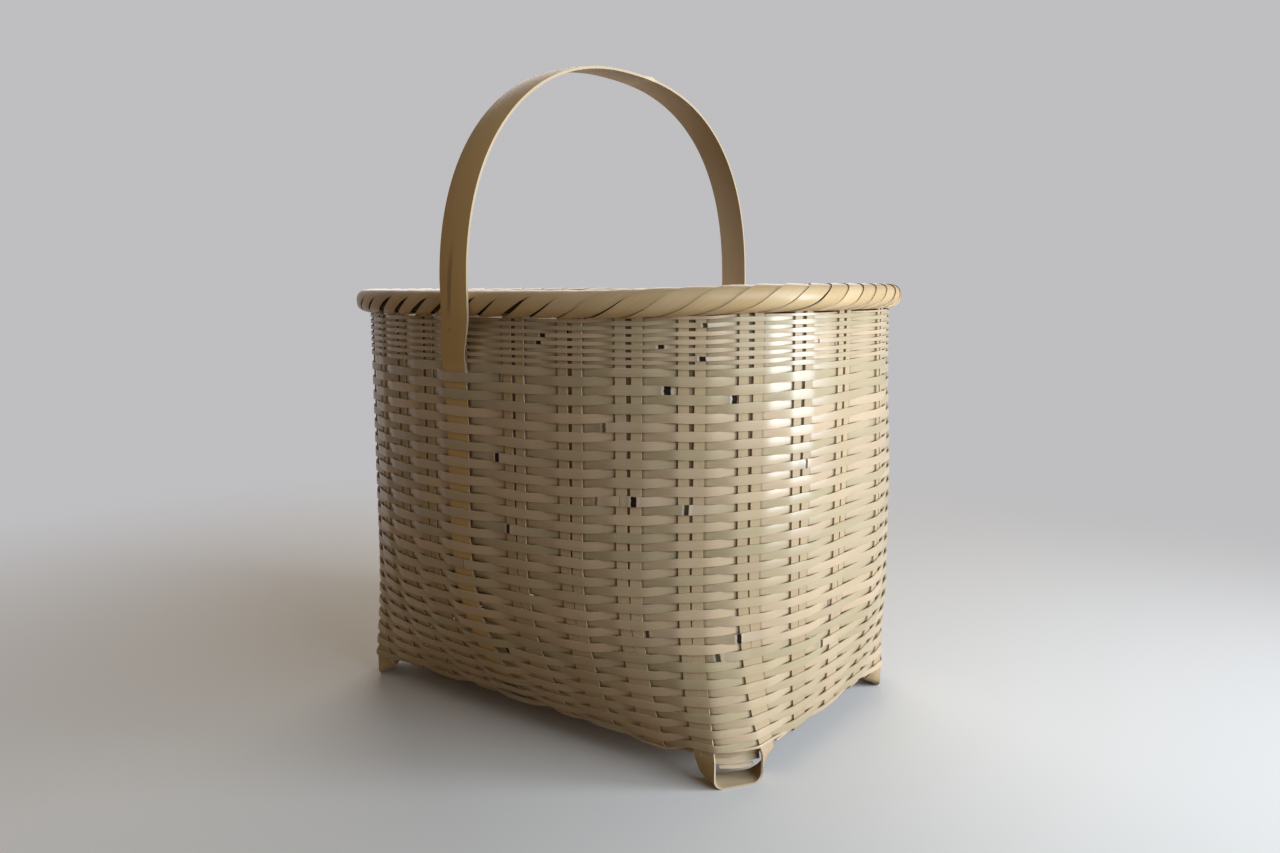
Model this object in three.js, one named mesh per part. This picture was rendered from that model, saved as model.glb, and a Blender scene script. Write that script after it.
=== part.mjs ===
// Hand-woven bamboo shopping basket: a rectangular plaited base on four looped corner feet,
// walls that swell from the base to a nearly round wrapped rim, and one fixed strip handle.
// Millimetres, +Z up, X along the long side, the feet stand on z = 0.
import * as THREE from 'three';

// Base, measured on the middle of the stakes
const BASE_LENGTH = 250;
const BASE_WIDTH = 170;
const BASE_CUT_LENGTH = 18;
const BASE_CUT_WIDTH = 24;
const BASE_HEIGHT = 13;

// Rim outline on the middle of the stakes, a squared oval
const RIM_LENGTH = 265;
const RIM_WIDTH = 229;
const RIM_SQUARENESS = 2.65;
const RIM_TOP = 218;
const RIM_ROLL_HEIGHT = 13.5;
const LEG_PAIR_PLACE = 0.415;
const LEG_PAIR_SPACING = 26;

// How far some stakes stand from their even place along the rim, as a hand-made wall has them
const FRONT_SHIFTS = [-4, -8, -11, -3];
const BACK_SHIFTS = [4, 6, 4];
const RIGHT_SHIFTS = [-7, -9, -4];

// Height over which the walls swell from the base to the full girth
const BELLY_HEIGHT = 93;
const BELLY_POWER = 2.2;

// Stakes: flat strips that cross the base and rise on both sides, split into two tines above the belly
const STAKE_WIDTH = 10;
const STAKE_THICKNESS = 0.8;
const TINE_WIDTH = 4.4;
const SLIT_BOTTOM = 0.6;
const SLIT_TOP = 3;
const STAKE_SINK = 3;

// Wefts: two strips that chase each other round the wall, wide ones below and narrow ones under the rim
const WIDE_ROWS = 34;
const NARROW_ROWS = 8;
const NARROW_BAND_HEIGHT = 19;
const WEFT_THICKNESS = 0.6;
const ROW_GAP = 0.5;
const SWING_TILT = 0.35;
const WEFT_PLAY = 0.2;
const WEAVE_START = 2.4;
const WIDE_LENGTHS = 4;
const LENGTH_GROWTH = 1.4;
const JOIN_GAP = 1.2;

// Base slats that lie lengthwise between the stakes
const SLAT_THICKNESS = 0.8;
const SLATS_INSIDE = 2;
const SLATS_OUTSIDE = 4;
const SLAT_GAP = 0.8;
const SLAT_EDGE_MARGIN = 6;

// Feet: the strip of a corner loops under it
const FOOT_RADIUS = 4.5;
const FOOT_DROP_STEPS = 2;
const FOOT_BEND_STEPS = 3;
const LEG_TWIST_STEPS = 3;

// Rim: two half-round hoops clamp the stakes and a ribbon is wound round them
const OUTER_HOOP = 5.4;
const INNER_HOOP = 3.6;
const HOOP_SHOULDER = 2.6;
const WRAP_TURNS_PER_STAKE = 2;
const WRAP_THICKNESS = 0.7;
const WRAP_GAP = 1.4;
const WRAP_PINCH = 4;
const WRAP_TINE_GAP = 0.8;
const WRAP_SLANT = 1;

// Handle: one strip, bent to an arch, whose thinned ends are pushed down the wall along the middle stakes
const HANDLE_TOP = 331;
const HANDLE_WIDTH = 17;
const HANDLE_THICKNESS = 2;
const HANDLE_LEG_WIDTH = 14;
const HANDLE_LEG_END_WIDTH = 10;
const HANDLE_LEG_THICKNESS = 0.8;
const HANDLE_LEG_END = 30;
const HANDLE_FULLNESS = 0.9;
const HANDLE_SHIFT = -5.5;
const HANDLE_STEPS = 26;

// Clearance between neighbouring strips
const FIT = 0.3;

// Stations: 28 places round the wall, counted from the middle of the +X side towards +Y.
// Places 2 and 3 of each quarter are the two legs of a foot, place 7 is the handle.
const QUARTER = 7;
const STATIONS = 4 * QUARTER;
const SHORT_LEG = 2;
const LONG_LEG = 3;

const basket = new THREE.Group();

function material(color, roughness) {
  return new THREE.MeshStandardMaterial({ color, roughness, metalness: 0 });
}

const stakeBamboo = material(0xc39a68, 0.5);
const weftBamboo = material(0xcbb994, 0.42);
const slatBamboo = material(0xbfa377, 0.5);
const rimBamboo = material(0xc9a877, 0.4);
const hoopBamboo = material(0xb89262, 0.55);
const handleBamboo = material(0xc4a272, 0.38);

function addPart(name, geometry, look) {
  const mesh = new THREE.Mesh(geometry, look);
  mesh.name = name;
  basket.add(mesh);
}

// A closed shell collected from quads and triangles of points.
class Shell {
  constructor() {
    this.corners = [];
  }

  triangle(a, b, c) {
    this.corners.push(a, b, c);
  }

  quad(a, b, c, d) {
    this.triangle(a, b, c);
    this.triangle(a, c, d);
  }

  // Side walls between two four-cornered sections; opposite faces are split along the same diagonal,
  // so that a strip that twists keeps its thickness
  sides(from, to) {
    for (let i = 0; i < 4; i += 1) {
      const next = (i + 1) % 4;
      if (i < 2) this.quad(from[i], from[next], to[next], to[i]);
      else this.quad(from[next], to[next], to[i], from[i]);
    }
  }

  cap(section) {
    this.quad(section[0], section[1], section[2], section[3]);
  }

  volume() {
    let sum = 0;
    for (let i = 0; i < this.corners.length; i += 3) {
      const [a, b, c] = this.corners.slice(i, i + 3);
      sum += a.dot(b.clone().cross(c)) / 6;
    }
    return sum;
  }

  geometry() {
    const turned = this.volume() < 0;
    const positions = [];
    for (let i = 0; i < this.corners.length; i += 3) {
      const [a, b, c] = this.corners.slice(i, i + 3);
      const order = turned ? [a, c, b] : [a, b, c];
      order.forEach((p) => positions.push(p.x, p.y, p.z));
    }
    const shape = new THREE.BufferGeometry();
    shape.setAttribute('position', new THREE.Float32BufferAttribute(positions, 3));
    shape.computeVertexNormals();
    return shape;
  }
}

// A strip lofted through its rectangular sections, closed at both ends
function loftStrip(sections) {
  const shell = new Shell();
  for (let i = 0; i + 1 < sections.length; i += 1) {
    shell.sides(sections[i], sections[i + 1]);
  }
  shell.cap([...sections[0]].reverse());
  shell.cap(sections[sections.length - 1]);
  return shell.geometry();
}

// A hoop lofted through its sections and back to the first
function loftRing(sections) {
  const shell = new Shell();
  sections.forEach((section, i) => {
    shell.sides(section, sections[(i + 1) % sections.length]);
  });
  return shell.geometry();
}

// The four corners of a strip's section: width along across, thickness along outward
function stripSection(centre, across, outward, width, thickness) {
  const corner = (s, t) =>
    centre.clone().addScaledVector(across, (s * width) / 2).addScaledVector(outward, (t * thickness) / 2);
  return [corner(-1, -1), corner(1, -1), corner(1, 1), corner(-1, 1)];
}

function mix(a, b, t) {
  return a + (b - a) * t;
}

// Plan of the stations on the base and on the rim, for one quarter
function squaredOval(angle) {
  const power = 2 / RIM_SQUARENESS;
  const x = (RIM_LENGTH / 2) * Math.max(Math.cos(angle), 0) ** power;
  const y = (RIM_WIDTH / 2) * Math.max(Math.sin(angle), 0) ** power;
  return new THREE.Vector2(x, y);
}

function quarterArc(samples) {
  const points = [];
  for (let i = 0; i <= samples; i += 1) {
    points.push(squaredOval((i / samples) * (Math.PI / 2)));
  }
  const lengths = [0];
  for (let i = 1; i <= samples; i += 1) {
    lengths.push(lengths[i - 1] + points[i].distanceTo(points[i - 1]));
  }
  return { points, lengths, total: lengths[samples] };
}

const rimArc = quarterArc(1200);

function rimAt(distance) {
  const i = Math.max(1, rimArc.lengths.findIndex((s) => s >= distance - 1e-9));
  const step = rimArc.lengths[i] - rimArc.lengths[i - 1];
  return rimArc.points[i - 1].clone().lerp(rimArc.points[i], (distance - rimArc.lengths[i - 1]) / step);
}

function rimDistance(k) {
  const shortLeg = rimArc.total * LEG_PAIR_PLACE - LEG_PAIR_SPACING / 2;
  const longLeg = shortLeg + LEG_PAIR_SPACING;
  if (k <= SHORT_LEG) return (shortLeg * k) / SHORT_LEG;
  return mix(longLeg, rimArc.total, (k - LONG_LEG) / (QUARTER - LONG_LEG));
}

function basePlace(k) {
  const halfLength = BASE_LENGTH / 2;
  const halfWidth = BASE_WIDTH / 2;
  if (k <= SHORT_LEG) return new THREE.Vector2(halfLength, ((halfWidth - BASE_CUT_WIDTH) * k) / SHORT_LEG);
  const share = (QUARTER - k) / (QUARTER - LONG_LEG);
  return new THREE.Vector2((halfLength - BASE_CUT_LENGTH) * share, halfWidth);
}

const baseQuarter = [];
for (let k = 0; k <= QUARTER; k += 1) baseQuarter.push(basePlace(k));

function wrapIndex(i) {
  return ((i % STATIONS) + STATIONS) % STATIONS;
}

function quarterIndex(i) {
  const half = i <= STATIONS / 2 ? i : STATIONS - i;
  return half <= QUARTER ? half : STATIONS / 2 - half;
}

function mirrored(p, quarter) {
  return new THREE.Vector2(quarter === 0 || quarter === 3 ? p.x : -p.x, quarter < 2 ? p.y : -p.y);
}

// Point of the rim outline at a distance round it from the middle of the +X side
function rimAround(distance) {
  const around = ((distance / rimArc.total) % 4 + 4) % 4;
  const quarter = Math.floor(around);
  const share = around - quarter;
  return mirrored(rimAt((quarter % 2 === 0 ? share : 1 - share) * rimArc.total), quarter);
}

const rimShifts = new Array(STATIONS).fill(0);
const shiftedRuns = [[3 * QUARTER - 2, FRONT_SHIFTS], [QUARTER - 1, BACK_SHIFTS], [-1, RIGHT_SHIFTS]];
shiftedRuns.forEach(([first, shifts]) => {
  shifts.forEach((shift, n) => {
    rimShifts[wrapIndex(first + n)] = shift;
  });
});

const baseStations = [];
const rimStations = [];
for (let i = 0; i < STATIONS; i += 1) {
  const quarter = Math.floor(i / QUARTER);
  const k = quarterIndex(i);
  const even = quarter % 2 === 0 ? rimDistance(k) : rimArc.total - rimDistance(k);
  baseStations.push(mirrored(baseQuarter[k], quarter));
  rimStations.push(rimAround(quarter * rimArc.total + even + rimShifts[i]));
}

function plan(station, swell) {
  const i = wrapIndex(station);
  return baseStations[i].clone().lerp(rimStations[i], swell);
}

// The wall's profile in straight runs between a few heights; swell is 0 at the base and 1 at the full girth
const STAKE_TOP = RIM_TOP - STAKE_SINK;
const FORK_SHARE = 0.53;
const FORK_Z = BASE_HEIGHT + BELLY_HEIGHT * FORK_SHARE;
const GIRTH_Z = BASE_HEIGHT + BELLY_HEIGHT;
const levels = [0, 0.12, 0.29, FORK_SHARE, 1].map((share) => ({
  z: BASE_HEIGHT + BELLY_HEIGHT * share,
  swell: 1 - (1 - share) ** BELLY_POWER,
}));
levels.push({ z: STAKE_TOP, swell: 1 });

function runAt(z) {
  let run = 0;
  while (run + 2 < levels.length && z > levels[run + 1].z) run += 1;
  return run;
}

function swellAt(z) {
  const low = levels[runAt(z)];
  const high = levels[runAt(z) + 1];
  return mix(low.swell, high.swell, (z - low.z) / (high.z - low.z));
}

function wallPoint(station, z) {
  const p = plan(station, swellAt(z));
  return new THREE.Vector3(p.x, p.y, z);
}

function isLeg(station) {
  const k = quarterIndex(wrapIndex(station));
  return k === SHORT_LEG || k === LONG_LEG;
}

// +1 where the basket's corner is on the side of the next station, -1 on the side of the one before
function cornerSide(station) {
  const place = wrapIndex(station) % (2 * QUARTER);
  return place === SHORT_LEG || place === 2 * QUARTER - LONG_LEG ? 1 : -1;
}

// Horizontal direction along the wall; a leg lies flat on its own side near the base
function along(station, z) {
  const swell = swellAt(z);
  const before = plan(station - 1, swell);
  const here = plan(station, swell);
  const after = plan(station + 1, swell);
  const direction = after.clone().sub(before).normalize();
  if (isLeg(station)) {
    const side = cornerSide(station) > 0 ? here.clone().sub(before) : after.clone().sub(here);
    direction.lerp(side.normalize(), 1 - swell).normalize();
  }
  return new THREE.Vector3(direction.x, direction.y, 0);
}

function upward(station, z) {
  const run = runAt(z);
  const low = wallPoint(station, levels[run].z);
  return wallPoint(station, levels[run + 1].z).sub(low).normalize();
}

function outwardOf(alongWall, up) {
  return alongWall.clone().cross(up).normalize();
}

// Distance up the wall at one station, from the base edge
function climbTo(station, z) {
  let distance = 0;
  for (let run = 0; run + 1 < levels.length && levels[run].z < z; run += 1) {
    const top = Math.min(z, levels[run + 1].z);
    distance += wallPoint(station, top).distanceTo(wallPoint(station, levels[run].z));
  }
  return distance;
}

function heightAt(station, distance) {
  let left = distance;
  for (let run = 0; run + 1 < levels.length; run += 1) {
    const low = levels[run].z;
    const high = levels[run + 1].z;
    const length = wallPoint(station, high).distanceTo(wallPoint(station, low));
    if (left <= length || run + 2 === levels.length) return mix(low, high, left / length);
    left -= length;
  }
  return STAKE_TOP;
}

// Stake section at a height: how far its halves reach to each side, and their directions
function stakeHalves(station, z) {
  const swell = swellAt(z);
  const flat = along(station, z);
  const here = plan(station, swell);
  const spread = THREE.MathUtils.clamp((z - FORK_Z) / (GIRTH_Z - FORK_Z), 0, 1);
  const share = THREE.MathUtils.clamp((z - FORK_Z) / (STAKE_TOP - FORK_Z), 0, 1);
  const slit = mix(SLIT_BOTTOM, SLIT_TOP, share) / 2;
  const reach = slit + mix((STAKE_WIDTH - SLIT_BOTTOM) / 2, TINE_WIDTH, share);
  return [-1, 1].map((side) => {
    const chord = plan(station + side, swell).sub(here).normalize();
    const direction = flat.clone().multiplyScalar(side);
    direction.lerp(new THREE.Vector3(chord.x, chord.y, 0), spread).normalize();
    return { side, slit, reach, direction };
  });
}

// Forked end of a stake: the flat strip splits into two tines that reach into the rim.
// The corners named here follow the order of stripSection, and turn says which way the strip is walked.
function addFork(shell, last, station, turn) {
  const face = (a, b, c, d) => (turn > 0 ? shell.quad(a, b, c, d) : shell.quad(d, c, b, a));
  const facet = (a, b, c) => (turn > 0 ? shell.triangle(a, b, c) : shell.triangle(c, b, a));
  const up = upward(station, FORK_Z + 1);
  const across = along(station, FORK_Z).multiplyScalar(turn);
  const outward = outwardOf(along(station, FORK_Z), up);
  const centre = wallPoint(station, FORK_Z);
  const rim = (s, t) =>
    centre.clone().addScaledVector(across, s).addScaledVector(outward, (t * STAKE_THICKNESS) / 2);
  const half = STAKE_WIDTH / 2;
  const slit = SLIT_BOTTOM / 2;
  const inner = [-half, -slit, slit, half].map((s) => rim(s, -1));
  const outer = [-half, -slit, slit, half].map((s) => rim(s, 1));
  facet(last[0], last[1], inner[3]);
  facet(last[0], inner[3], inner[2]);
  facet(last[0], inner[2], inner[1]);
  facet(last[0], inner[1], inner[0]);
  facet(last[3], outer[0], outer[1]);
  facet(last[3], outer[1], outer[2]);
  facet(last[3], outer[2], outer[3]);
  facet(last[3], outer[3], last[2]);
  face(last[1], last[2], outer[3], inner[3]);
  face(last[3], last[0], inner[0], outer[0]);
  face(inner[1], inner[2], outer[2], outer[1]);
  [0, 1].forEach((tine) => {
    const wallSide = (tine === 0 ? -1 : 1) * turn;
    let section = tine === 0
      ? [inner[0], inner[1], outer[1], outer[0]]
      : [inner[2], inner[3], outer[3], outer[2]];
    [GIRTH_Z, STAKE_TOP].forEach((z) => {
      const part = stakeHalves(station, z).find((item) => item.side === wallSide);
      const normal = outwardOf(part.direction.clone().multiplyScalar(wallSide), new THREE.Vector3(0, 0, 1));
      const middle = wallPoint(station, z).addScaledVector(part.direction, (part.slit + part.reach) / 2);
      const next = stripSection(
        middle,
        part.direction.clone().multiplyScalar(wallSide * turn),
        normal,
        part.reach - part.slit,
        STAKE_THICKNESS,
      );
      face(section[0], section[1], next[1], next[0]);
      face(section[1], section[2], next[2], next[1]);
      face(section[3], next[3], next[2], section[2]);
      face(section[0], next[0], next[3], section[3]);
      section = next;
    });
    face(section[0], section[1], section[2], section[3]);
  });
}

// Sections of a stake on the wall below the fork, from the base edge upwards
function wallSections(station, turn, edgeDown) {
  const sections = [];
  for (let level = 0; levels[level].z < FORK_Z; level += 1) {
    const z = levels[level].z;
    const above = upward(station, z + 1);
    const below = level === 0 ? edgeDown : upward(station, z - 1);
    const up = above.clone().add(below).normalize();
    const flat = along(station, z);
    const outward = outwardOf(flat, up);
    const across = flat.clone().multiplyScalar(turn);
    sections.push(stripSection(wallPoint(station, z), across, outward, STAKE_WIDTH, STAKE_THICKNESS));
    for (let step = 1; isLeg(station) && step < LEG_TWIST_STEPS; step += 1) {
      const between = mix(z, levels[level + 1].z, step / LEG_TWIST_STEPS);
      const way = along(station, between);
      const face = outwardOf(way, above);
      way.multiplyScalar(turn);
      sections.push(stripSection(wallPoint(station, between), way, face, STAKE_WIDTH, STAKE_THICKNESS));
    }
  }
  return sections;
}

// A stake from fork to fork: down the wall at one station, through the given middle, up at the other
function forkedStake(downStation, upStation, downEdge, middle, upEdge) {
  const sections = [
    ...wallSections(downStation, -1, downEdge).reverse(),
    ...middle,
    ...wallSections(upStation, 1, upEdge),
  ];
  const shell = new Shell();
  for (let i = 0; i + 1 < sections.length; i += 1) {
    shell.sides(sections[i], sections[i + 1]);
  }
  addFork(shell, sections[0], downStation, -1);
  addFork(shell, sections[sections.length - 1], upStation, 1);
  return shell.geometry();
}

// Stakes across the base: straight under and over the lengthwise strips
const DOWN = new THREE.Vector3(0, 0, -1);
for (let k = LONG_LEG + 1; k <= QUARTER; k += 1) {
  const stations = k === QUARTER ? [k] : [k, STATIONS / 2 - k];
  stations.forEach((station) => {
    const edge = wallPoint(station, BASE_HEIGHT);
    const place = 2 * (QUARTER - LONG_LEG) - 1 - (station - LONG_LEG - 1);
    const inwardDown = new THREE.Vector3(0, -1, 0);
    const inwardUp = new THREE.Vector3(0, 1, 0);
    const geometry = forkedStake(STATIONS - station, station, inwardDown, [], inwardUp);
    const name = edge.x === 0 ? 'cross_stake_middle' : `cross_stake_${place}`;
    addPart(name, geometry, stakeBamboo);
  });
}

// Cross strips that close the base ends, in line with the long-side foot legs
const crossPitch = baseQuarter[LONG_LEG].x / (QUARTER - LONG_LEG);
const crossCount = QUARTER - LONG_LEG;
[-1, 1].forEach((side) => {
  const reach = BASE_WIDTH / 2 - SLAT_EDGE_MARGIN;
  const across = new THREE.Vector3(-1, 0, 0);
  const ends = [-reach, reach].map((y) =>
    stripSection(
      new THREE.Vector3(side * crossCount * crossPitch, y, BASE_HEIGHT),
      across,
      DOWN,
      STAKE_WIDTH,
      STAKE_THICKNESS,
    ),
  );
  addPart(side < 0 ? 'base_end_strip_left' : 'base_end_strip_right', loftStrip(ends), slatBamboo);
});

// Lengthwise strips of the base, woven under and over the cross strips
function baseSwing(thickness) {
  const need = STAKE_THICKNESS / 2 + thickness / 2 + FIT;
  return need / (1 - STAKE_WIDTH / crossPitch);
}

function lengthwiseSections(y, parity, width, thickness) {
  const across = new THREE.Vector3(0, 1, 0);
  const sections = [];
  for (let m = -crossCount; m <= crossCount; m += 1) {
    const over = (m + parity) % 2 === 0 ? 1 : -1;
    const centre = new THREE.Vector3(m * crossPitch, y, BASE_HEIGHT + over * baseSwing(thickness));
    sections.push(stripSection(centre, across, DOWN, width, thickness));
  }
  return sections;
}

const lengthwise = [];
const shortPitch = baseQuarter[SHORT_LEG].y / SHORT_LEG;
for (let k = 1 - SHORT_LEG; k < SHORT_LEG; k += 1) {
  lengthwise.push({ y: k * shortPitch, station: k });
}
const insidePitch = shortPitch / (SLATS_INSIDE + 1);
const insideWidth = (shortPitch - STAKE_WIDTH - SLAT_GAP * (SLATS_INSIDE + 1)) / SLATS_INSIDE;
for (let k = 0; k < SHORT_LEG - 1; k += 1) {
  for (let s = 0; s < SLATS_INSIDE; s += 1) {
    const start = k * shortPitch + STAKE_WIDTH / 2 + SLAT_GAP;
    const y = start + s * (insideWidth + SLAT_GAP) + insideWidth / 2;
    lengthwise.push({ y, width: insideWidth }, { y: -y, width: insideWidth });
  }
}
const outsideStart = (SHORT_LEG - 1) * shortPitch + STAKE_WIDTH / 2;
const outsideRoom = BASE_WIDTH / 2 - SLAT_EDGE_MARGIN - outsideStart;
const outsideWidth = outsideRoom / SLATS_OUTSIDE - SLAT_GAP;
for (let s = 0; s < SLATS_OUTSIDE; s += 1) {
  const y = outsideStart + SLAT_GAP + s * (outsideWidth + SLAT_GAP) + outsideWidth / 2;
  lengthwise.push({ y, width: outsideWidth }, { y: -y, width: outsideWidth });
}
lengthwise.sort((a, b) => a.y - b.y);

let slatNumber = 0;
lengthwise.forEach((strip, order) => {
  if (strip.station === undefined) {
    slatNumber += 1;
    const sections = lengthwiseSections(strip.y, order, strip.width, SLAT_THICKNESS);
    const reach = BASE_LENGTH / 2 - SLAT_EDGE_MARGIN - crossCount * crossPitch;
    const ends = [sections[0], sections[sections.length - 1]];
    ends.forEach((section, end) => {
      const step = new THREE.Vector3(end === 0 ? -reach : reach, 0, 0);
      const tip = section.map((p) => p.clone().add(step));
      if (end === 0) sections.unshift(tip);
      else sections.push(tip);
    });
    addPart(`base_slat_${slatNumber}`, loftStrip(sections), slatBamboo);
    return;
  }
  const middle = lengthwiseSections(strip.y, order, STAKE_WIDTH, STAKE_THICKNESS);
  const inwardDown = new THREE.Vector3(-1, 0, 0);
  const inwardUp = new THREE.Vector3(1, 0, 0);
  const far = STATIONS / 2 - strip.station;
  const names = ['long_stake_front', 'long_stake_middle', 'long_stake_back'];
  const geometry = forkedStake(far, wrapIndex(strip.station), inwardDown, middle, inwardUp);
  addPart(names[strip.station + 1], geometry, stakeBamboo);
});

// Feet: each strip comes down one leg, turns about its edge at the corner, lies flat on the ground
// and climbs the other leg
function footMiddle(downStation, upStation) {
  const downAcross = along(downStation, BASE_HEIGHT).multiplyScalar(-1);
  const upAcross = along(upStation, BASE_HEIGHT);
  const downEdge = wallPoint(downStation, BASE_HEIGHT).addScaledVector(downAcross, STAKE_WIDTH / 2);
  const upEdge = wallPoint(upStation, BASE_HEIGHT).addScaledVector(upAcross, STAKE_WIDTH / 2);
  const run = upEdge.clone().sub(downEdge).setZ(0).normalize();
  const floorAcross = run.clone().cross(DOWN);
  const floor = STAKE_THICKNESS / 2;
  const drop = BASE_HEIGHT - floor - FOOT_RADIUS;
  const length = drop + (FOOT_RADIUS * Math.PI) / 2;
  const path = [];
  for (let step = 1; step <= FOOT_DROP_STEPS; step += 1) {
    const fall = (drop * step) / FOOT_DROP_STEPS;
    path.push({ z: BASE_HEIGHT - fall, inset: 0, angle: 0, turn: fall / length });
  }
  for (let step = 1; step <= FOOT_BEND_STEPS; step += 1) {
    const angle = ((Math.PI / 2) * step) / FOOT_BEND_STEPS;
    path.push({
      z: floor + FOOT_RADIUS * (1 - Math.sin(angle)),
      inset: FOOT_RADIUS * (1 - Math.cos(angle)),
      angle,
      turn: (drop + FOOT_RADIUS * angle) / length,
    });
  }
  const section = (edge, legAcross, side, at) => {
    const across = legAcross.clone().lerp(floorAcross, at.turn).normalize();
    const travel = run.clone().multiplyScalar(Math.sin(at.angle));
    travel.addScaledVector(DOWN, side * Math.cos(at.angle)).normalize();
    const outward = across.clone().cross(travel).normalize();
    const centre = edge.clone().addScaledVector(run, side * at.inset).setZ(at.z);
    centre.addScaledVector(across, -STAKE_WIDTH / 2);
    return stripSection(centre, across, outward, STAKE_WIDTH, STAKE_THICKNESS);
  };
  return [
    ...path.map((at) => section(downEdge, downAcross, 1, at)),
    ...path.map((at) => section(upEdge, upAcross, -1, at)).reverse(),
  ];
}

const feet = [
  { name: 'foot_strip_right_back', station: LONG_LEG },
  { name: 'foot_strip_left_back', station: 2 * QUARTER - SHORT_LEG },
  { name: 'foot_strip_left_front', station: 2 * QUARTER + LONG_LEG },
  { name: 'foot_strip_right_front', station: STATIONS - SHORT_LEG },
];
feet.forEach(({ name, station }) => {
  const up = new THREE.Vector3(0, 0, 1);
  const loop = footMiddle(station, station - 1);
  addPart(name, forkedStake(station, station - 1, up, loop, up), stakeBamboo);
});

// Wefts
const NARROW_TOP = RIM_TOP - RIM_ROLL_HEIGHT - ROW_GAP;
const NARROW_START = NARROW_TOP - NARROW_BAND_HEIGHT;
const wideBand = {
  rows: WIDE_ROWS,
  start: () => WEAVE_START,
  end: (station) => climbTo(station, NARROW_START),
};
const narrowBand = {
  rows: NARROW_ROWS,
  start: (station) => climbTo(station, NARROW_START),
  end: (station) => climbTo(station, NARROW_TOP),
};
const HANDLE_STATIONS = [QUARTER, 3 * QUARTER];

// The row of the wide band that holds the handle's end down at a handle station
function tuckRow(station) {
  const parity = wrapIndex(station) === 3 * QUARTER ? 0 : 1;
  const top = WIDE_ROWS - 2;
  return top % 2 === parity ? top : top - 1;
}

function rowDistance(band, station, row) {
  const share = THREE.MathUtils.clamp(row / band.rows, 0, 1);
  return mix(band.start(station), band.end(station), share);
}

function handleHalfWidth(z) {
  const share = THREE.MathUtils.clamp((NARROW_START - z) / (NARROW_START - HANDLE_LEG_END), 0, 1);
  return mix(HANDLE_LEG_WIDTH, HANDLE_LEG_END_WIDTH, share) / 2;
}

function handleIsWoven(band, station, row) {
  return band === wideBand && HANDLE_STATIONS.includes(wrapIndex(station)) && row <= tuckRow(station);
}

// How far a row's strip passes outside and inside each stake so that it clears it, solved in plan
function swingOf(band, row) {
  const need = WEFT_THICKNESS / 2 + FIT + WEFT_PLAY;
  const stations = [];
  for (let i = 0; i < STATIONS; i += 1) {
    const z = heightAt(i, rowDistance(band, i, row + 0.5));
    const swell = swellAt(z);
    const flat = along(i, z);
    const tangent = new THREE.Vector2(flat.x, flat.y);
    const normal = new THREE.Vector2(flat.y, -flat.x);
    const halves = stakeHalves(i, z);
    const here = plan(i, swell);
    const shift = isLeg(i) ? cornerSide(i) * halves[0].reach * (1 - swell) : 0;
    const vertex = here.clone().addScaledVector(tangent, shift);
    const edges = halves.map((part) => {
      const direction = new THREE.Vector2(part.direction.x, part.direction.y);
      return here.clone().addScaledVector(direction, part.reach);
    });
    const half = STAKE_THICKNESS / 2;
    const outer = edges.map((p) => p.clone().addScaledVector(normal, half));
    const inner = edges.map((p) => p.clone().addScaledVector(normal, -half));
    if (handleIsWoven(band, i, row)) {
      const reach = handleHalfWidth(z);
      const level = half + FIT + HANDLE_LEG_THICKNESS;
      [-1, 1].forEach((side, n) => {
        outer[n] = here.clone().addScaledVector(tangent, side * reach).addScaledVector(normal, level);
      });
    }
    const stack = handleIsWoven(band, i, row) ? half + FIT + HANDLE_LEG_THICKNESS : half;
    stations.push({ vertex, normal, shift, outer, inner, out: stack + need, in: half + need });
  }
  const place = (s, pass) => s.vertex.clone().addScaledVector(s.normal, pass > 0 ? s.out : -s.in);
  for (let round = 0; round < 60; round += 1) {
    stations.forEach((s, i) => {
      [1, -1].forEach((pass) => {
        [-1, 1].forEach((side, n) => {
          const neighbour = stations[wrapIndex(i + side)];
          const from = place(s, pass);
          const to = place(neighbour, -pass);
          const edge = pass > 0 ? s.outer[n] : s.inner[n];
          const run = to.clone().sub(from);
          const length = run.length();
          const square = new THREE.Vector2(run.y, -run.x).multiplyScalar((side * pass) / length);
          const short = need + edge.clone().sub(from).dot(square);
          if (short <= 0) return;
          if (pass > 0) s.out += short;
          else s.in += short;
        });
      });
    });
  }
  return stations.map((s) => ({ out: s.out, in: s.in, shift: s.shift }));
}

const swings = new Map();
function swing(band, row) {
  const key = `${band === wideBand ? 'wide' : 'narrow'} ${row}`;
  if (!swings.has(key)) swings.set(key, swingOf(band, row));
  return swings.get(key);
}

// One section of a weft at a station step; the strip tapers where it starts and where it ends
function weftSection(band, first, outsideParity, step) {
  const station = wrapIndex(first + step);
  const top = (2 * step) / STATIONS;
  const low = THREE.MathUtils.clamp(top - 1, 0, band.rows);
  const high = THREE.MathUtils.clamp(top, 0, band.rows);
  const row = THREE.MathUtils.clamp(Math.floor((low + high) / 2), 0, band.rows - 1);
  const reach = swing(band, row)[station];
  const outside = station % 2 === outsideParity;
  const offset = outside ? reach.out : -reach.in;
  const zLow = heightAt(station, rowDistance(band, station, low) + ROW_GAP / 2);
  const zHigh = heightAt(station, rowDistance(band, station, high) - ROW_GAP / 2);
  const zMiddle = (zLow + zHigh) / 2;
  const flat = along(station, zMiddle);
  const outward = outwardOf(flat, upward(station, zMiddle));
  const level = outwardOf(flat, new THREE.Vector3(0, 0, 1));
  const swingWay = level.lerp(outward, SWING_TILT).normalize();
  const edge = (z, side) =>
    wallPoint(station, z)
      .addScaledVector(flat, reach.shift)
      .addScaledVector(swingWay, offset / swingWay.dot(outward))
      .addScaledVector(outward, (side * WEFT_THICKNESS) / 2);
  return [edge(zLow, -1), edge(zLow, 1), edge(zHigh, 1), edge(zHigh, -1)];
}

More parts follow.
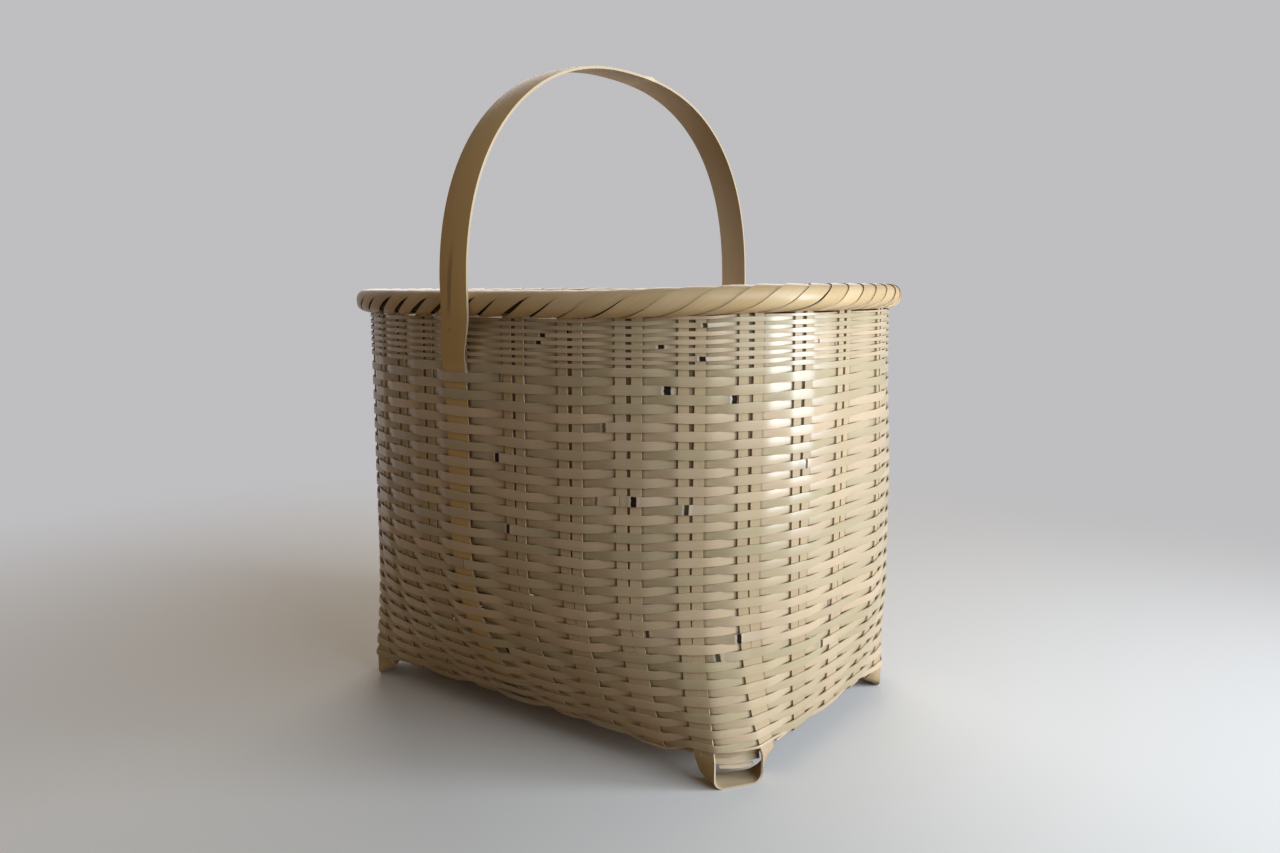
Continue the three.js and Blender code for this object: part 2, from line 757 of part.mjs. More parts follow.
function betweenSections(a, b, share) {
  return a.map((p, i) => p.clone().lerp(b[i], share));
}

function weftStrip(band, first, outsideParity, from, to) {
  const section = (step) => weftSection(band, first, outsideParity, step);
  const trim = JOIN_GAP / 2 / section(from)[0].distanceTo(section(from + 1)[0]);
  const sections = [betweenSections(section(from), section(from + 1), trim)];
  for (let step = from + 1; step < to; step += 1) sections.push(section(step));
  sections.push(betweenSections(section(to), section(to - 1), trim));
  return loftStrip(sections);
}

// Each weft is laid in several lengths that meet behind a stake, the lower ones shorter
function weaveBand(band, lengths, label) {
  const taper = 4;
  const last = (band.rows + 1) * (STATIONS / 2) - taper;
  ['a', 'b'].forEach((which, order) => {
    const first = 3 * QUARTER + order * (STATIONS / 2);
    const outsideParity = order;
    const joints = [taper];
    for (let n = 1; n < lengths; n += 1) {
      const step = Math.round(mix(taper, last, (n / lengths) ** LENGTH_GROWTH));
      joints.push((first + step) % 2 === outsideParity ? step + 1 : step);
    }
    joints.push(last);
    for (let n = 0; n < lengths; n += 1) {
      const name = lengths > 1 ? `${label}_${which}${n + 1}` : `${label}_${which}`;
      addPart(name, weftStrip(band, first, outsideParity, joints[n], joints[n + 1]), weftBamboo);
    }
  });
}

weaveBand(wideBand, WIDE_LENGTHS, 'weft');
weaveBand(narrowBand, 1, 'narrow_weft');

// Rim: sections stand on the polygon of the stakes, so that the hoops lie along the tines
const rimPlaces = [];
for (let i = 0; i < STATIONS; i += 1) {
  const here = plan(i, 1);
  const before = here.clone().sub(plan(i - 1, 1)).normalize();
  const after = plan(i + 1, 1).sub(here).normalize();
  const turn = Math.acos(THREE.MathUtils.clamp(before.dot(after), -1, 1));
  const tangent = before.add(after).normalize();
  const mitre = new THREE.Vector2(tangent.y, -tangent.x).multiplyScalar(1 / Math.cos(turn / 2));
  const length = here.distanceTo(plan(i + 1, 1));
  rimPlaces.push({ here, mitre, turn, length });
}

function rimPoint(place, offset, z) {
  const i = Math.floor(place);
  const a = rimPlaces[wrapIndex(i)];
  const b = rimPlaces[wrapIndex(i + 1)];
  const from = a.here.clone().addScaledVector(a.mitre, offset);
  const to = b.here.clone().addScaledVector(b.mitre, offset);
  const p = from.lerp(to, place - i);
  return new THREE.Vector3(p.x, p.y, z);
}

const sharpest = Math.max(...rimPlaces.map((p) => p.turn));
const longest = Math.max(...rimPlaces.map((p) => p.length));
const wrapFit = FIT + (longest / WRAP_TURNS_PER_STAKE / 4) * sharpest;
const hoopSeat = STAKE_THICKNESS / 2 + FIT;
const rimLow = RIM_TOP - RIM_ROLL_HEIGHT;
const hoopLow = rimLow + WRAP_THICKNESS + wrapFit;
const hoopHigh = RIM_TOP - WRAP_THICKNESS - wrapFit;

function hoop(near, far) {
  const sections = [];
  for (let i = 0; i < STATIONS; i += 1) {
    sections.push([
      rimPoint(i, near, hoopLow),
      rimPoint(i, far, hoopLow + HOOP_SHOULDER),
      rimPoint(i, far, hoopHigh - HOOP_SHOULDER),
      rimPoint(i, near, hoopHigh),
    ]);
  }
  return loftRing(sections);
}

addPart('rim_hoop_outer', hoop(hoopSeat, hoopSeat + OUTER_HOOP), hoopBamboo);
addPart('rim_hoop_inner', hoop(-hoopSeat, -hoopSeat - INNER_HOOP), hoopBamboo);

// The ribbon's course round the hoops: under them between two stakes, up outside, over and down inside
const wrapReach = wrapFit + WRAP_THICKNESS / 2;
const wrapOuter = hoopSeat + OUTER_HOOP + wrapReach;
const wrapInner = -hoopSeat - INNER_HOOP - wrapReach;
const wrapCourse = [
  { offset: 0, z: rimLow + WRAP_THICKNESS / 2, slant: 0, radial: [0, -1] },
  { offset: wrapOuter, z: hoopLow + HOOP_SHOULDER, slant: 0.42, radial: [0.9, -0.44] },
  { offset: wrapOuter, z: hoopHigh - HOOP_SHOULDER, slant: 0.6, radial: [0.9, 0.44] },
  { offset: 0, z: RIM_TOP - WRAP_THICKNESS / 2, slant: 1, radial: [0, 1] },
  { offset: wrapInner, z: hoopHigh - HOOP_SHOULDER, slant: 1, radial: [-0.9, 0.44] },
  { offset: wrapInner, z: hoopLow + HOOP_SHOULDER, slant: 1, radial: [-0.9, -0.44] },
];
const wrapTurns = STATIONS * WRAP_TURNS_PER_STAKE - 1;

function wrapSection(turn, corner) {
  const course = wrapCourse[corner];
  const even = (turn + 0.5) / WRAP_TURNS_PER_STAKE;
  const room = rimPlaces[wrapIndex(Math.floor(even))].length;
  const tineReach = (SLIT_TOP / 2 + TINE_WIDTH + WRAP_TINE_GAP + WRAP_PINCH / 2) / room;
  const slot = even - Math.floor(even);
  const slotShare = (slot * WRAP_TURNS_PER_STAKE - 0.5) / (WRAP_TURNS_PER_STAKE - 1);
  const pinched = Math.floor(even) + mix(tineReach, 1 - tineReach, slotShare);
  const advance = (course.slant * WRAP_SLANT - WRAP_SLANT / 2) / WRAP_TURNS_PER_STAKE;
  const place = corner === 0 ? pinched : even + advance + WRAP_SLANT / 4 / WRAP_TURNS_PER_STAKE;
  const width = corner === 0 ? WRAP_PINCH : room / WRAP_TURNS_PER_STAKE - WRAP_GAP;
  const half = width / 2 / room;
  const edge = (side, face) =>
    rimPoint(
      place + side * half,
      course.offset + (course.radial[0] * face * WRAP_THICKNESS) / 2,
      course.z + (course.radial[1] * face * WRAP_THICKNESS) / 2,
    );
  return [edge(-1, -1), edge(1, -1), edge(1, 1), edge(-1, 1)];
}

const wrapSections = [];
for (let turn = 0; turn < wrapTurns; turn += 1) {
  for (let corner = 0; corner < wrapCourse.length; corner += 1) {
    wrapSections.push(wrapSection(turn, corner));
  }
}
addPart('rim_wrap', loftStrip(wrapSections), rimBamboo);

// Least gap between neighbouring turns of the ribbon, measured on points along their edges
let leastGap = Infinity;
const turnLength = wrapCourse.length;
for (let n = 0; n + turnLength + 1 < wrapSections.length; n += 1) {
  for (let m = n + turnLength - 1; m <= n + turnLength; m += 1) {
    for (let s = 0; s <= 8; s += 1) {
      const front = wrapSections[n][1].clone().lerp(wrapSections[n + 1][1], s / 8);
      for (let t = 0; t <= 8; t += 1) {
        const back = wrapSections[m][0].clone().lerp(wrapSections[m + 1][0], t / 8);
        leastGap = Math.min(leastGap, front.distanceTo(back));
      }
    }
  }
}
console.log(`rim ribbon: least gap between turns ${leastGap.toFixed(2)} mm`);

// Handle: from the end of one leg up the wall, out past the rim, over the arch and down the other side
const handleSeat = wrapOuter + WRAP_THICKNESS / 2 + FIT + HANDLE_THICKNESS / 2;
const wovenSeat = STAKE_THICKNESS / 2 + FIT + HANDLE_LEG_THICKNESS / 2;

function outsideSeat(station) {
  let reach = 0;
  for (let row = tuckRow(station) + 1; row < WIDE_ROWS; row += 1) {
    reach = Math.max(reach, swing(wideBand, row)[station].out);
  }
  for (let row = 0; row < NARROW_ROWS; row += 1) {
    reach = Math.max(reach, swing(narrowBand, row)[station].out);
  }
  return reach + WEFT_THICKNESS / 2 + FIT + HANDLE_LEG_THICKNESS / 2;
}

function handleLeg(station, turn) {
  const sections = [];
  const across = along(station, NARROW_TOP).multiplyScalar(turn);
  const put = (z, offset, lean, width, thickness, shift) => {
    const flat = along(station, z);
    const wall = upward(station, z);
    const outward = outwardOf(flat, wall);
    const up = wall.clone().addScaledVector(outward, lean).normalize();
    const centre = wallPoint(station, z).addScaledVector(outward, offset);
    if (shift !== undefined) centre.setX(shift);
    sections.push(stripSection(centre, across, outwardOf(flat, up), width, thickness));
  };
  const woven = (z) => put(z, wovenSeat, 0, handleHalfWidth(z) * 2, HANDLE_LEG_THICKNESS);
  const tuck = heightAt(station, rowDistance(wideBand, station, tuckRow(station) + 1));
  woven(HANDLE_LEG_END);
  levels.filter((level) => level.z > HANDLE_LEG_END && level.z < tuck).forEach((level) => {
    const flat = along(station, level.z);
    const up = upward(station, level.z - 1).add(upward(station, level.z + 1)).normalize();
    const outward = outwardOf(flat, up);
    const centre = wallPoint(station, level.z).addScaledVector(outward, wovenSeat);
    const width = handleHalfWidth(level.z) * 2;
    sections.push(stripSection(centre, across, outward, width, HANDLE_LEG_THICKNESS));
  });
  const free = heightAt(station, rowDistance(wideBand, station, tuckRow(station) + 2));
  const clear = outsideSeat(station);
  woven(tuck);
  put(free, clear, 0.25, mix(HANDLE_LEG_WIDTH, HANDLE_WIDTH, 0.5), HANDLE_LEG_THICKNESS);
  const rimEnter = hoopLow + HOOP_SHOULDER - 1;
  put(rimEnter, handleSeat, 0.1, HANDLE_WIDTH, HANDLE_THICKNESS, HANDLE_SHIFT);
  put(RIM_TOP, handleSeat, 0, HANDLE_WIDTH, HANDLE_THICKNESS, HANDLE_SHIFT);
  return sections;
}

const handleSections = handleLeg(3 * QUARTER, -1);
const archSpan = RIM_WIDTH / 2 + handleSeat;
const archRise = HANDLE_TOP - HANDLE_THICKNESS / 2 - RIM_TOP;

function archPoint(angle) {
  const c = Math.cos(angle);
  const s = Math.max(Math.sin(angle), 0);
  const y = -archSpan * Math.sign(c) * Math.abs(c) ** HANDLE_FULLNESS;
  return new THREE.Vector3(HANDLE_SHIFT, y, RIM_TOP + archRise * s ** HANDLE_FULLNESS);
}

for (let n = 1; n < HANDLE_STEPS; n += 1) {
  const angle = (Math.PI * n) / HANDLE_STEPS;
  const travel = archPoint(angle + 0.02).sub(archPoint(angle - 0.02)).normalize();
  const across = new THREE.Vector3(-1, 0, 0);
  const outward = travel.clone().cross(across).normalize();
  handleSections.push(stripSection(archPoint(angle), across, outward, HANDLE_WIDTH, HANDLE_THICKNESS));
}
handleSections.push(...handleLeg(QUARTER, 1).reverse());
addPart('handle', loftStrip(handleSections), handleBamboo);

export default basket;
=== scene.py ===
import bisect
import math
import random
import bmesh
import bpy
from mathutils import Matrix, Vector, noise


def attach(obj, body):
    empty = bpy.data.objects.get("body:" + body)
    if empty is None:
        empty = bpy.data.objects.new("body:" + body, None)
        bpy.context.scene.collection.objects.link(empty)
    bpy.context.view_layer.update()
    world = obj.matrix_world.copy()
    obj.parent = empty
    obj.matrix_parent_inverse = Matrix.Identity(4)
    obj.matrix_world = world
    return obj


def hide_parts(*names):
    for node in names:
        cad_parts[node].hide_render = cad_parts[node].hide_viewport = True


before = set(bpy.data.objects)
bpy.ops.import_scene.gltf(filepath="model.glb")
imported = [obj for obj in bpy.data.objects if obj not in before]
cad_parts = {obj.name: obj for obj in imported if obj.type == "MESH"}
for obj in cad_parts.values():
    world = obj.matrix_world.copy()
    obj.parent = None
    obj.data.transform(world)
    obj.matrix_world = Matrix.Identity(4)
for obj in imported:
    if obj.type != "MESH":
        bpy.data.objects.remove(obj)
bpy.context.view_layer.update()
mm = 0.001
skyward, floorward = Vector((0, 0, 1)), Vector((0, 0, -1))

# wall of the basket in millimetres: straight-sided base, squared-oval rim, 28 stations round it
wall = {"baseLength": 250, "baseWidth": 170, "cutLength": 18, "cutWidth": 24, "baseHeight": 13,
        "rimLength": 265, "rimWidth": 229, "squareness": 2.65, "stakeTop": 214, "rimTop": 218,
        "samples": 1200, "legPlace": 0.415, "legSpacing": 26, "bellyHeight": 93, "bellyPower": 2.2,
        "fuller": {1: 3.4, 2: 4.8, 3: 3.6, 4: 1.5}, "fullWay": (0.927, 0.375),  # one corner is fuller
        "fullFrom": (14, 62), "fullFade": (110, 195), "fullKept": 0.4,
        # stakes that stand off their even place
        "shifts": {19: -4, 20: -8, 21: -11, 22: -3, 6: 4, 7: 6, 8: 4, 27: -7, 0: -9, 1: -4}}
quarter = 7  # stations in a quarter of the wall, from the middle of a short side
stations = 4 * quarter
shortLeg, longLeg = 2, 3  # the two legs of a foot in each quarter


def mix(a, b, t):
    return a + (b - a) * t


def clamp(x, low=0.0, high=1.0):
    return min(max(x, low), high)


def smoothStep(low, high, x):
    t = clamp((x - low) / (high - low))
    return t * t * (3 - 2 * t)


def findSpan(table, x):  # which neighbours in a rising table x lies between, and its share of the way
    n = min(max(bisect.bisect_left(table, x), 1), len(table) - 1)
    return n, (x - table[n - 1]) / (table[n] - table[n - 1])


def tabulateOval():  # a quarter of the rim line: its points and their distances along it
    power = 2 / wall["squareness"]
    points, lengths = [], [0.0]
    for n in range(wall["samples"] + 1):
        angle = n / wall["samples"] * math.pi / 2
        x = wall["rimLength"] / 2 * max(math.cos(angle), 0) ** power
        y = wall["rimWidth"] / 2 * max(math.sin(angle), 0) ** power
        points.append(Vector((x, y)))
        if n:
            lengths.append(lengths[-1] + (points[-1] - points[-2]).length)
    return points, lengths


ovalPoints, ovalLengths = tabulateOval()
quarterLength = ovalLengths[-1]
rimGirth = 4 * quarterLength


def mirrored(p, turn):
    return Vector((p.x if turn in (0, 3) else -p.x, p.y if turn < 2 else -p.y))


def ovalAt(distance):  # point on the rim line, measured round from the middle of the +X side
    turn, rest = divmod(distance / quarterLength, 1)
    turn = int(turn) % 4
    n, share = findSpan(ovalLengths, (rest if turn % 2 == 0 else 1 - rest) * quarterLength)
    return mirrored(ovalPoints[n - 1].lerp(ovalPoints[n], share), turn)


def rimDistance(k):
    first = quarterLength * wall["legPlace"] - wall["legSpacing"] / 2
    if k <= shortLeg:
        return first * k / shortLeg
    return mix(first + wall["legSpacing"], quarterLength, (k - longLeg) / (quarter - longLeg))


def basePlace(k):
    halfLength, halfWidth = wall["baseLength"] / 2, wall["baseWidth"] / 2
    if k <= shortLeg:
        return Vector((halfLength, (halfWidth - wall["cutWidth"]) * k / shortLeg))
    return Vector(((halfLength - wall["cutLength"]) * (quarter - k) / (quarter - longLeg), halfWidth))


def quarterOf(i):
    half = min(i % stations, stations - i % stations)
    return min(half, stations // 2 - half)


basePlaces = [basePlace(k) for k in range(quarter + 1)]
baseStations, rimStations = [], []
for station in range(stations):
    turn = station // quarter
    even = rimDistance(quarterOf(station))
    even = even if turn % 2 == 0 else quarterLength - even
    baseStations.append(mirrored(basePlaces[quarterOf(station)], turn))
    rimStations.append(ovalAt(turn * quarterLength + even + wall["shifts"].get(station, 0)))
rooms = [(rimStations[(i + 1) % stations] - rimStations[i]).length for i in range(stations)]


def planAt(i, swell):
    return baseStations[i % stations].lerp(rimStations[i % stations], swell)


def swellAt(z):
    share = clamp((z - wall["baseHeight"]) / wall["bellyHeight"])
    return 1 - (1 - share) ** wall["bellyPower"]


def fullerAt(i, z):
    kept = mix(1, wall["fullKept"], smoothStep(*wall["fullFade"], z))
    return wall["fuller"].get(i % stations, 0) * smoothStep(*wall["fullFrom"], z) * kept


def wallPoint(i, z):
    p = planAt(i, swellAt(z)) + Vector(wall["fullWay"]) * fullerAt(i, z)
    return Vector((p.x, p.y, z))


def isLeg(i):
    return quarterOf(i) in (shortLeg, longLeg)


def cornerSide(i):  # 1 where the basket's corner lies towards the next station
    return 1 if i % (2 * quarter) in (shortLeg, 2 * quarter - longLeg) else -1


def alongWall(i, z):
    swell = swellAt(z)
    before, here, after = planAt(i - 1, swell), planAt(i, swell), planAt(i + 1, swell)
    way = (after - before).normalized()
    if isLeg(i):  # a leg lies flat on its own side near the base
        side = here - before if cornerSide(i) > 0 else after - here
        way = way.lerp(side.normalized(), 1 - swell).normalized()
    return Vector((way.x, way.y, 0))


def upWall(i, z):
    low = max(z - 0.5, wall["baseHeight"])
    return (wallPoint(i, low + 1) - wallPoint(i, low)).normalized()


def outOfWall(i, z):
    return alongWall(i, z).cross(upWall(i, z)).normalized()


climbs = []  # distance up the wall from the base edge, for each millimetre of height
for station in range(stations):
    heights = [wall["baseHeight"] + n for n in range(int(wall["stakeTop"] - wall["baseHeight"]) + 2)]
    climb = [0.0]
    for below, above in zip(heights, heights[1:]):
        climb.append(climb[-1] + (wallPoint(station, above) - wallPoint(station, below)).length)
    climbs.append(climb)


def climbTo(i, z):
    n = clamp(z - wall["baseHeight"], 0, len(climbs[i]) - 2)
    return mix(climbs[i][int(n)], climbs[i][int(n) + 1], n - int(n))


def heightAt(i, distance):
    n, share = findSpan(climbs[i], distance)
    return wall["baseHeight"] + n - 1 + share


print("wall laid out: girth at the rim %.0f mm" % rimGirth)


# shader sockets that can be added, multiplied and so on
class Wire:
    def __init__(self, tree, socket=None):
        self.tree = tree
        self.socket = socket

    def node(self, kind, settings, values, out=0):
        made = self.tree.nodes.new(kind)
        for key, value in settings.items():
            setattr(made, key, value)
        for key, value in values.items():
            if isinstance(value, Wire):
                self.tree.links.new(value.socket, made.inputs[key])
            else:
                made.inputs[key].default_value = value
        return Wire(self.tree, made.outputs[out])

    def math(self, operation, a, b):
        return self.node("ShaderNodeMath", {"operation": operation}, {0: a, 1: b})

    def __add__(self, other):
        return self.math("ADD", self, other)

    def __radd__(self, other):
        return self.math("ADD", other, self)

    def __sub__(self, other):
        return self.math("SUBTRACT", self, other)

    def __rsub__(self, other):
        return self.math("SUBTRACT", other, self)

    def __mul__(self, other):
        return self.math("MULTIPLY", self, other)

    def __rmul__(self, other):
        return self.math("MULTIPLY", other, self)

    def __truediv__(self, other):
        return self.math("DIVIDE", self, other)

    def step(self, low, high):  # 0 below low, 1 above high, smooth between
        return self.node("ShaderNodeMapRange", {"interpolation_type": "SMOOTHSTEP", "clamp": True},
                         {"Value": self, "From Min": low, "From Max": high, "To Min": 0.0, "To Max": 1.0})

    def between(self, low, high, edge):
        return self.step(low - edge, low + edge) * (1 - self.step(high - edge, high + edge))

    def blend(self, first, second):  # self is the share of the second colour
        first = first if isinstance(first, Wire) else (*first, 1)
        second = second if isinstance(second, Wire) else (*second, 1)
        return self.node("ShaderNodeMix", {"data_type": "RGBA", "clamp_factor": True},
                         {0: self, 6: first, 7: second}, out=2)


# what each rib notes, and the value if it isn't told; deep tells how far a weft lies behind a stake, for the
# painted shade there
stripNotes = {"tint": 0.5, "shade": 0.5, "nodeGap": 60.0, "ink": 0.0, "deep": 0.0}


def readSurface(wire):  # lengthwise and crosswise place on the strip in metres, and the strip's notes
    place = wire.node("ShaderNodeUVMap", {"uv_map": "strip"}, {})
    along = wire.node("ShaderNodeSeparateXYZ", {}, {0: place})
    read = {"place": place, "along": along, "across": Wire(wire.tree, along.socket.node.outputs[1])}
    for name in stripNotes:
        read[name] = wire.node("ShaderNodeAttribute", {"attribute_name": name}, {}, out=2)
    return read


def stretchedNoise(wire, place, along, across, seed, detail=3.0):
    moved = wire.node("ShaderNodeMapping", {}, {"Vector": place, "Scale": (along, across, 1.0),
                                                "Location": (seed, seed * 0.37, seed)})
    return wire.node("ShaderNodeTexNoise", {"noise_dimensions": "3D"},
                     {"Vector": moved, "Scale": 1.0, "Detail": detail, "Roughness": 0.55})


def addStain(stain, read, streak, colour, bump):  # a brown streak and a small eye
    low, high = stain["along"]
    along, across = read["along"], read["across"]
    side = (across - stain["across"] - (along - low) * stain["lean"]) / stain["half"] + (streak - 0.5) * 1.5
    ends = along.step(low, mix(low, high, 0.3)) * (1 - along.step(mix(low, high, 0.5), high))
    spot = ends * (1 - (side * side).step(0.1, 1.2))
    colour = (spot * 0.6).blend(colour, stain["tone"])
    aside, askew = along - stain["eye"][0], across - stain["eye"][1]
    ring = ((aside * aside + askew * askew) * 1e6).between(0.25, 0.9, 0.2)
    return (ring * 0.5).blend(colour, stain["tone"]), bump + ring * 2


def addMarks(mark, read, streak, colour, bump, rough, coat):  # a joint's soot, notch, lips and pale wood
    ripple = read["nodeGap"] + (streak - 0.5)
    ink = read["ink"]
    reach = 0.5 + ink * 2.2  # length of the black notch in millimetres
    force = ink.step(0.0, 0.2)
    soot = ripple.step(-mark["fade"], -1.5) * (1 - ripple.step(-0.8, 0.3))
    colour = (soot * force * (0.15 + ink * 0.4)).blend(colour, mark["soot"])
    pale = ripple.step(-0.1, 0.5) * (1 - ripple.step(mark["paleEnd"] * 0.2, mark["paleEnd"]))
    colour = (pale * force * (0.3 + ink * 0.45)).blend(colour, mark["pale"])
    lip = ripple.between(-0.9 - reach, 0 - reach, 0.25) + ripple.between(0.0, 0.7, 0.2)
    colour = (lip * ink * 0.8).blend(colour, mark["lip"])
    notch = ripple.between(0 - reach, -0.1, 0.2)
    colour = (notch * (ink * 1.3)).blend(colour, mark["notch"])
    bump = bump + (ripple.between(-0.2, 1.0, 0.5) * 3 - notch * 3) * force
    return colour, bump, rough + notch * 0.3, coat * (1 - notch * force)


def bambooLook(finish):
    look = bpy.data.materials.new(finish["name"])
    look.use_nodes = True
    tree = look.node_tree
    shader = tree.nodes["Principled BSDF"]
    wire = Wire(tree)
    read = readSurface(wire)
    fibre = stretchedNoise(wire, read["place"], 22, finish["fine"], finish["seed"])
    streak = stretchedNoise(wire, read["place"], 7, 620, finish["seed"] + 3.1)
    cloud = stretchedNoise(wire, read["place"], 16, 60, finish["seed"] + 7.7, 2.0)
    hue = read["tint"] + (cloud - 0.5) * finish["cloudHue"]
    colour = hue.step(0.0, 1.0).blend(finish["green"], finish["straw"])
    colour = (streak.step(0.5, 0.8) * finish["streak"]).blend(colour, finish["blush"])
    bright = 1 + (fibre - 0.5) * finish["fibre"] + (cloud - 0.5) * finish["cloud"]
    bright = bright + (read["shade"] - 0.5) * finish["shade"]
    grey = wire.node("ShaderNodeCombineXYZ", {}, {0: bright, 1: bright, 2: bright})
    colour = wire.node("ShaderNodeMix", {"data_type": "RGBA", "blend_type": "MULTIPLY"},
                       {0: 1.0, 6: colour, 7: grey}, out=2)
    # painted shade: where a weft lies behind a stake, its face is darkened towards a dark brown in place of
    # the shadow there, and its coat is weakened; the back face takes the same from the inside
    hidden = read["deep"] if finish["outside"] else 1 - read["deep"]
    colour = (hidden * finish["paintedShade"]).blend(colour, finish["paintedShadeTone"])
    rough = finish["rough"] + (fibre - 0.5) * 0.12 + (cloud - 0.5) * 0.1
    coat = finish["coat"] * (1 - hidden)
    bump = fibre * 0.6 + streak * 0.4
    if finish["stain"]:
        colour, bump = addStain(finish["stain"], read, streak, colour, bump)
    if finish["marks"]:
        colour, bump, rough, coat = addMarks(finish["marks"], read, streak, colour, bump, rough, coat)
    bumped = wire.node("ShaderNodeBump", {}, {"Strength": finish["bump"], "Distance": 0.0002, "Height": bump})
    tree.links.new(colour.socket, shader.inputs["Base Color"])
    tree.links.new(rough.socket, shader.inputs["Roughness"])
    tree.links.new(bumped.socket, shader.inputs["Normal"])
    shader.inputs["Specular IOR Level"].default_value = finish["gloss"]
    if finish["coat"]:
        tree.links.new(coat.socket, shader.inputs["Coat Weight"])
        shader.inputs["Coat Roughness"].default_value = 0.28
        shader.inputs["Coat IOR"].default_value = 1.5
    return look


nodeMarks = {"fade": 10, "soot": (0.20, 0.165, 0.11), "pale": (0.60, 0.46, 0.33), "paleEnd": 18,
             "notch": (0.012, 0.008, 0.006), "lip": (0.66, 0.54, 0.41)}
# the weft's skin, pith and cut edge get painted shade where they lie behind a stake; the other finishes have
# none
skin = {"name": "weftSkin", "seed": 1.0, "green": (0.44, 0.35, 0.205), "straw": (0.56, 0.415, 0.262),
        "blush": (0.58, 0.42, 0.285), "streak": 0.3, "fibre": 0.24, "fine": 2600, "cloud": 0.16,
        "cloudHue": 0.45, "shade": 0.22, "rough": 0.38, "bump": 0.22, "gloss": 0.08, "coat": 0.65,
        "outside": True, "paintedShade": 0.7, "paintedShadeTone": (0.07, 0.04, 0.02), "marks": nodeMarks, "stain": None}
pith = dict(skin, name="weftPith", seed=2.0, green=(0.44, 0.345, 0.21), straw=(0.53, 0.41, 0.265),
            rough=0.62, gloss=0.15, coat=0.0, bump=0.45, outside=False)
cutEdge = dict(skin, name="weftCutEdge", seed=3.0, green=(0.46, 0.37, 0.225), straw=(0.55, 0.44, 0.285),
               rough=0.6, gloss=0.15, coat=0.0, marks=None)
stakeFace = dict(skin, name="stakeFace", seed=4.0, green=(0.46, 0.34, 0.20), straw=(0.545, 0.405, 0.25),
                 blush=(0.55, 0.38, 0.225), streak=0.5, fibre=0.34, rough=0.45, coat=0.1,
                 paintedShade=0.0, marks=None)
stakeBack = dict(stakeFace, name="stakeBack", seed=5.0, green=(0.50, 0.37, 0.225), straw=(0.57, 0.43, 0.275),
                 rough=0.6, coat=0.0, gloss=0.15)
stakeEdge = dict(stakeFace, name="stakeEdge", seed=6.0, green=(0.60, 0.48, 0.32), straw=(0.66, 0.53, 0.36),
                 rough=0.55, coat=0.0)
wrapFace = dict(stakeFace, name="wrapFace", seed=7.0, green=(0.54, 0.37, 0.18), straw=(0.64, 0.47, 0.265),
                blush=(0.66, 0.49, 0.30), rough=0.36, coat=0.3)
wrapBack = dict(wrapFace, name="wrapBack", seed=8.0, rough=0.6, coat=0.0, gloss=0.15)
wrapEdge = dict(wrapFace, name="wrapEdge", seed=9.0, green=(0.60, 0.47, 0.29), straw=(0.66, 0.53, 0.35),
                rough=0.5, coat=0.0)
# the hoops' near-black colour is painted shade: it shows in the gaps between the ribbon's turns
coreShadeFace = dict(stakeFace, name="hoopCorePaintedShade", seed=10.0, green=(0.075, 0.045, 0.02), straw=(0.10, 0.062, 0.03),
                rough=0.8, coat=0.0)
handleStain = {"along": (0.180, 0.222), "across": 0.0052, "half": 0.0016, "lean": 0.07,
               "tone": (0.22, 0.11, 0.04), "eye": (0.177, 0.0062)}
handleFace = dict(skin, name="handleFace", seed=11.0, green=(0.58, 0.375, 0.15), straw=(0.65, 0.44, 0.185),
                  blush=(0.59, 0.38, 0.155), streak=0.35, cloud=0.15, rough=0.45, gloss=0.2, coat=0.08,
                  bump=0.02, fine=500, fibre=0.06, paintedShade=0.0, marks=None, stain=handleStain)
handleBack = dict(handleFace, name="handleBack", seed=12.0, green=(0.62, 0.44, 0.265),
                  straw=(0.69, 0.51, 0.32), rough=0.55, coat=0.0, gloss=0.4, stain=None)
handleEdge = dict(handleFace, name="handleEdge", seed=13.0, green=(0.60, 0.46, 0.29),
                  straw=(0.66, 0.52, 0.34), rough=0.5, coat=0.0, stain=None)
weftLooks = [bambooLook(f) for f in (skin, pith, cutEdge)]
stakeLooks = [bambooLook(f) for f in (stakeFace, stakeBack, stakeEdge)]
wrapLooks = [bambooLook(f) for f in (wrapFace, wrapBack, wrapEdge)]
handleLooks = [bambooLook(f) for f in (handleFace, handleBack, handleEdge)]
coreLooks = [bambooLook(coreShadeFace)]
print("materials mixed")


# a strip is a row of ribs; each rib has its two edge points, its outward side and its thickness
def startStrips():
    bm = bmesh.new()
    bm.loops.layers.uv.new("strip")
    for name in stripNotes:
        bm.verts.layers.float.new(name)
    bm.verts.layers.float_vector.new("inward")
    return bm


def layStrip(bm, ribs, across, crown=0.0, seed=0):
    last = len(ribs) - 1
    run = [0.0]
    for rib, after in zip(ribs, ribs[1:]):
        step = after["low"] + after["high"] - rib["low"] - rib["high"]
        run.append(run[-1] + step.length / 2)
    made = bmesh.ops.create_grid(bm, x_segments=last, y_segments=across, size=0.5)["verts"]
    uv = bm.loops.layers.uv["strip"]
    layers = {name: bm.verts.layers.float[name] for name in stripNotes}
    inward = bm.verts.layers.float_vector["inward"]
    spot = {v: (round((v.co.x + 0.5) * last), v.co.y + 0.5) for v in made}
    for face in {face for v in made for face in v.link_faces}:
        for loop in face.loops:
            n, w = spot[loop.vert]
            width = (ribs[n]["high"] - ribs[n]["low"]).length
            loop[uv].uv = ((run[n] + seed * 97.0) * mm, (w * width + seed * 13.0) * mm)
    for v, (n, w) in spot.items():
        rib = ribs[n]
        rise = rib.get("crown", crown) * (1 - (2 * w - 1) ** 2)
        v.co = (rib["low"].lerp(rib["high"], w) + rib["out"] * rise) * mm
        v[inward] = rib["out"] * (-rib["thick"] * mm)
        for name, usual in stripNotes.items():
            v[layers[name]] = rib.get(name, usual)


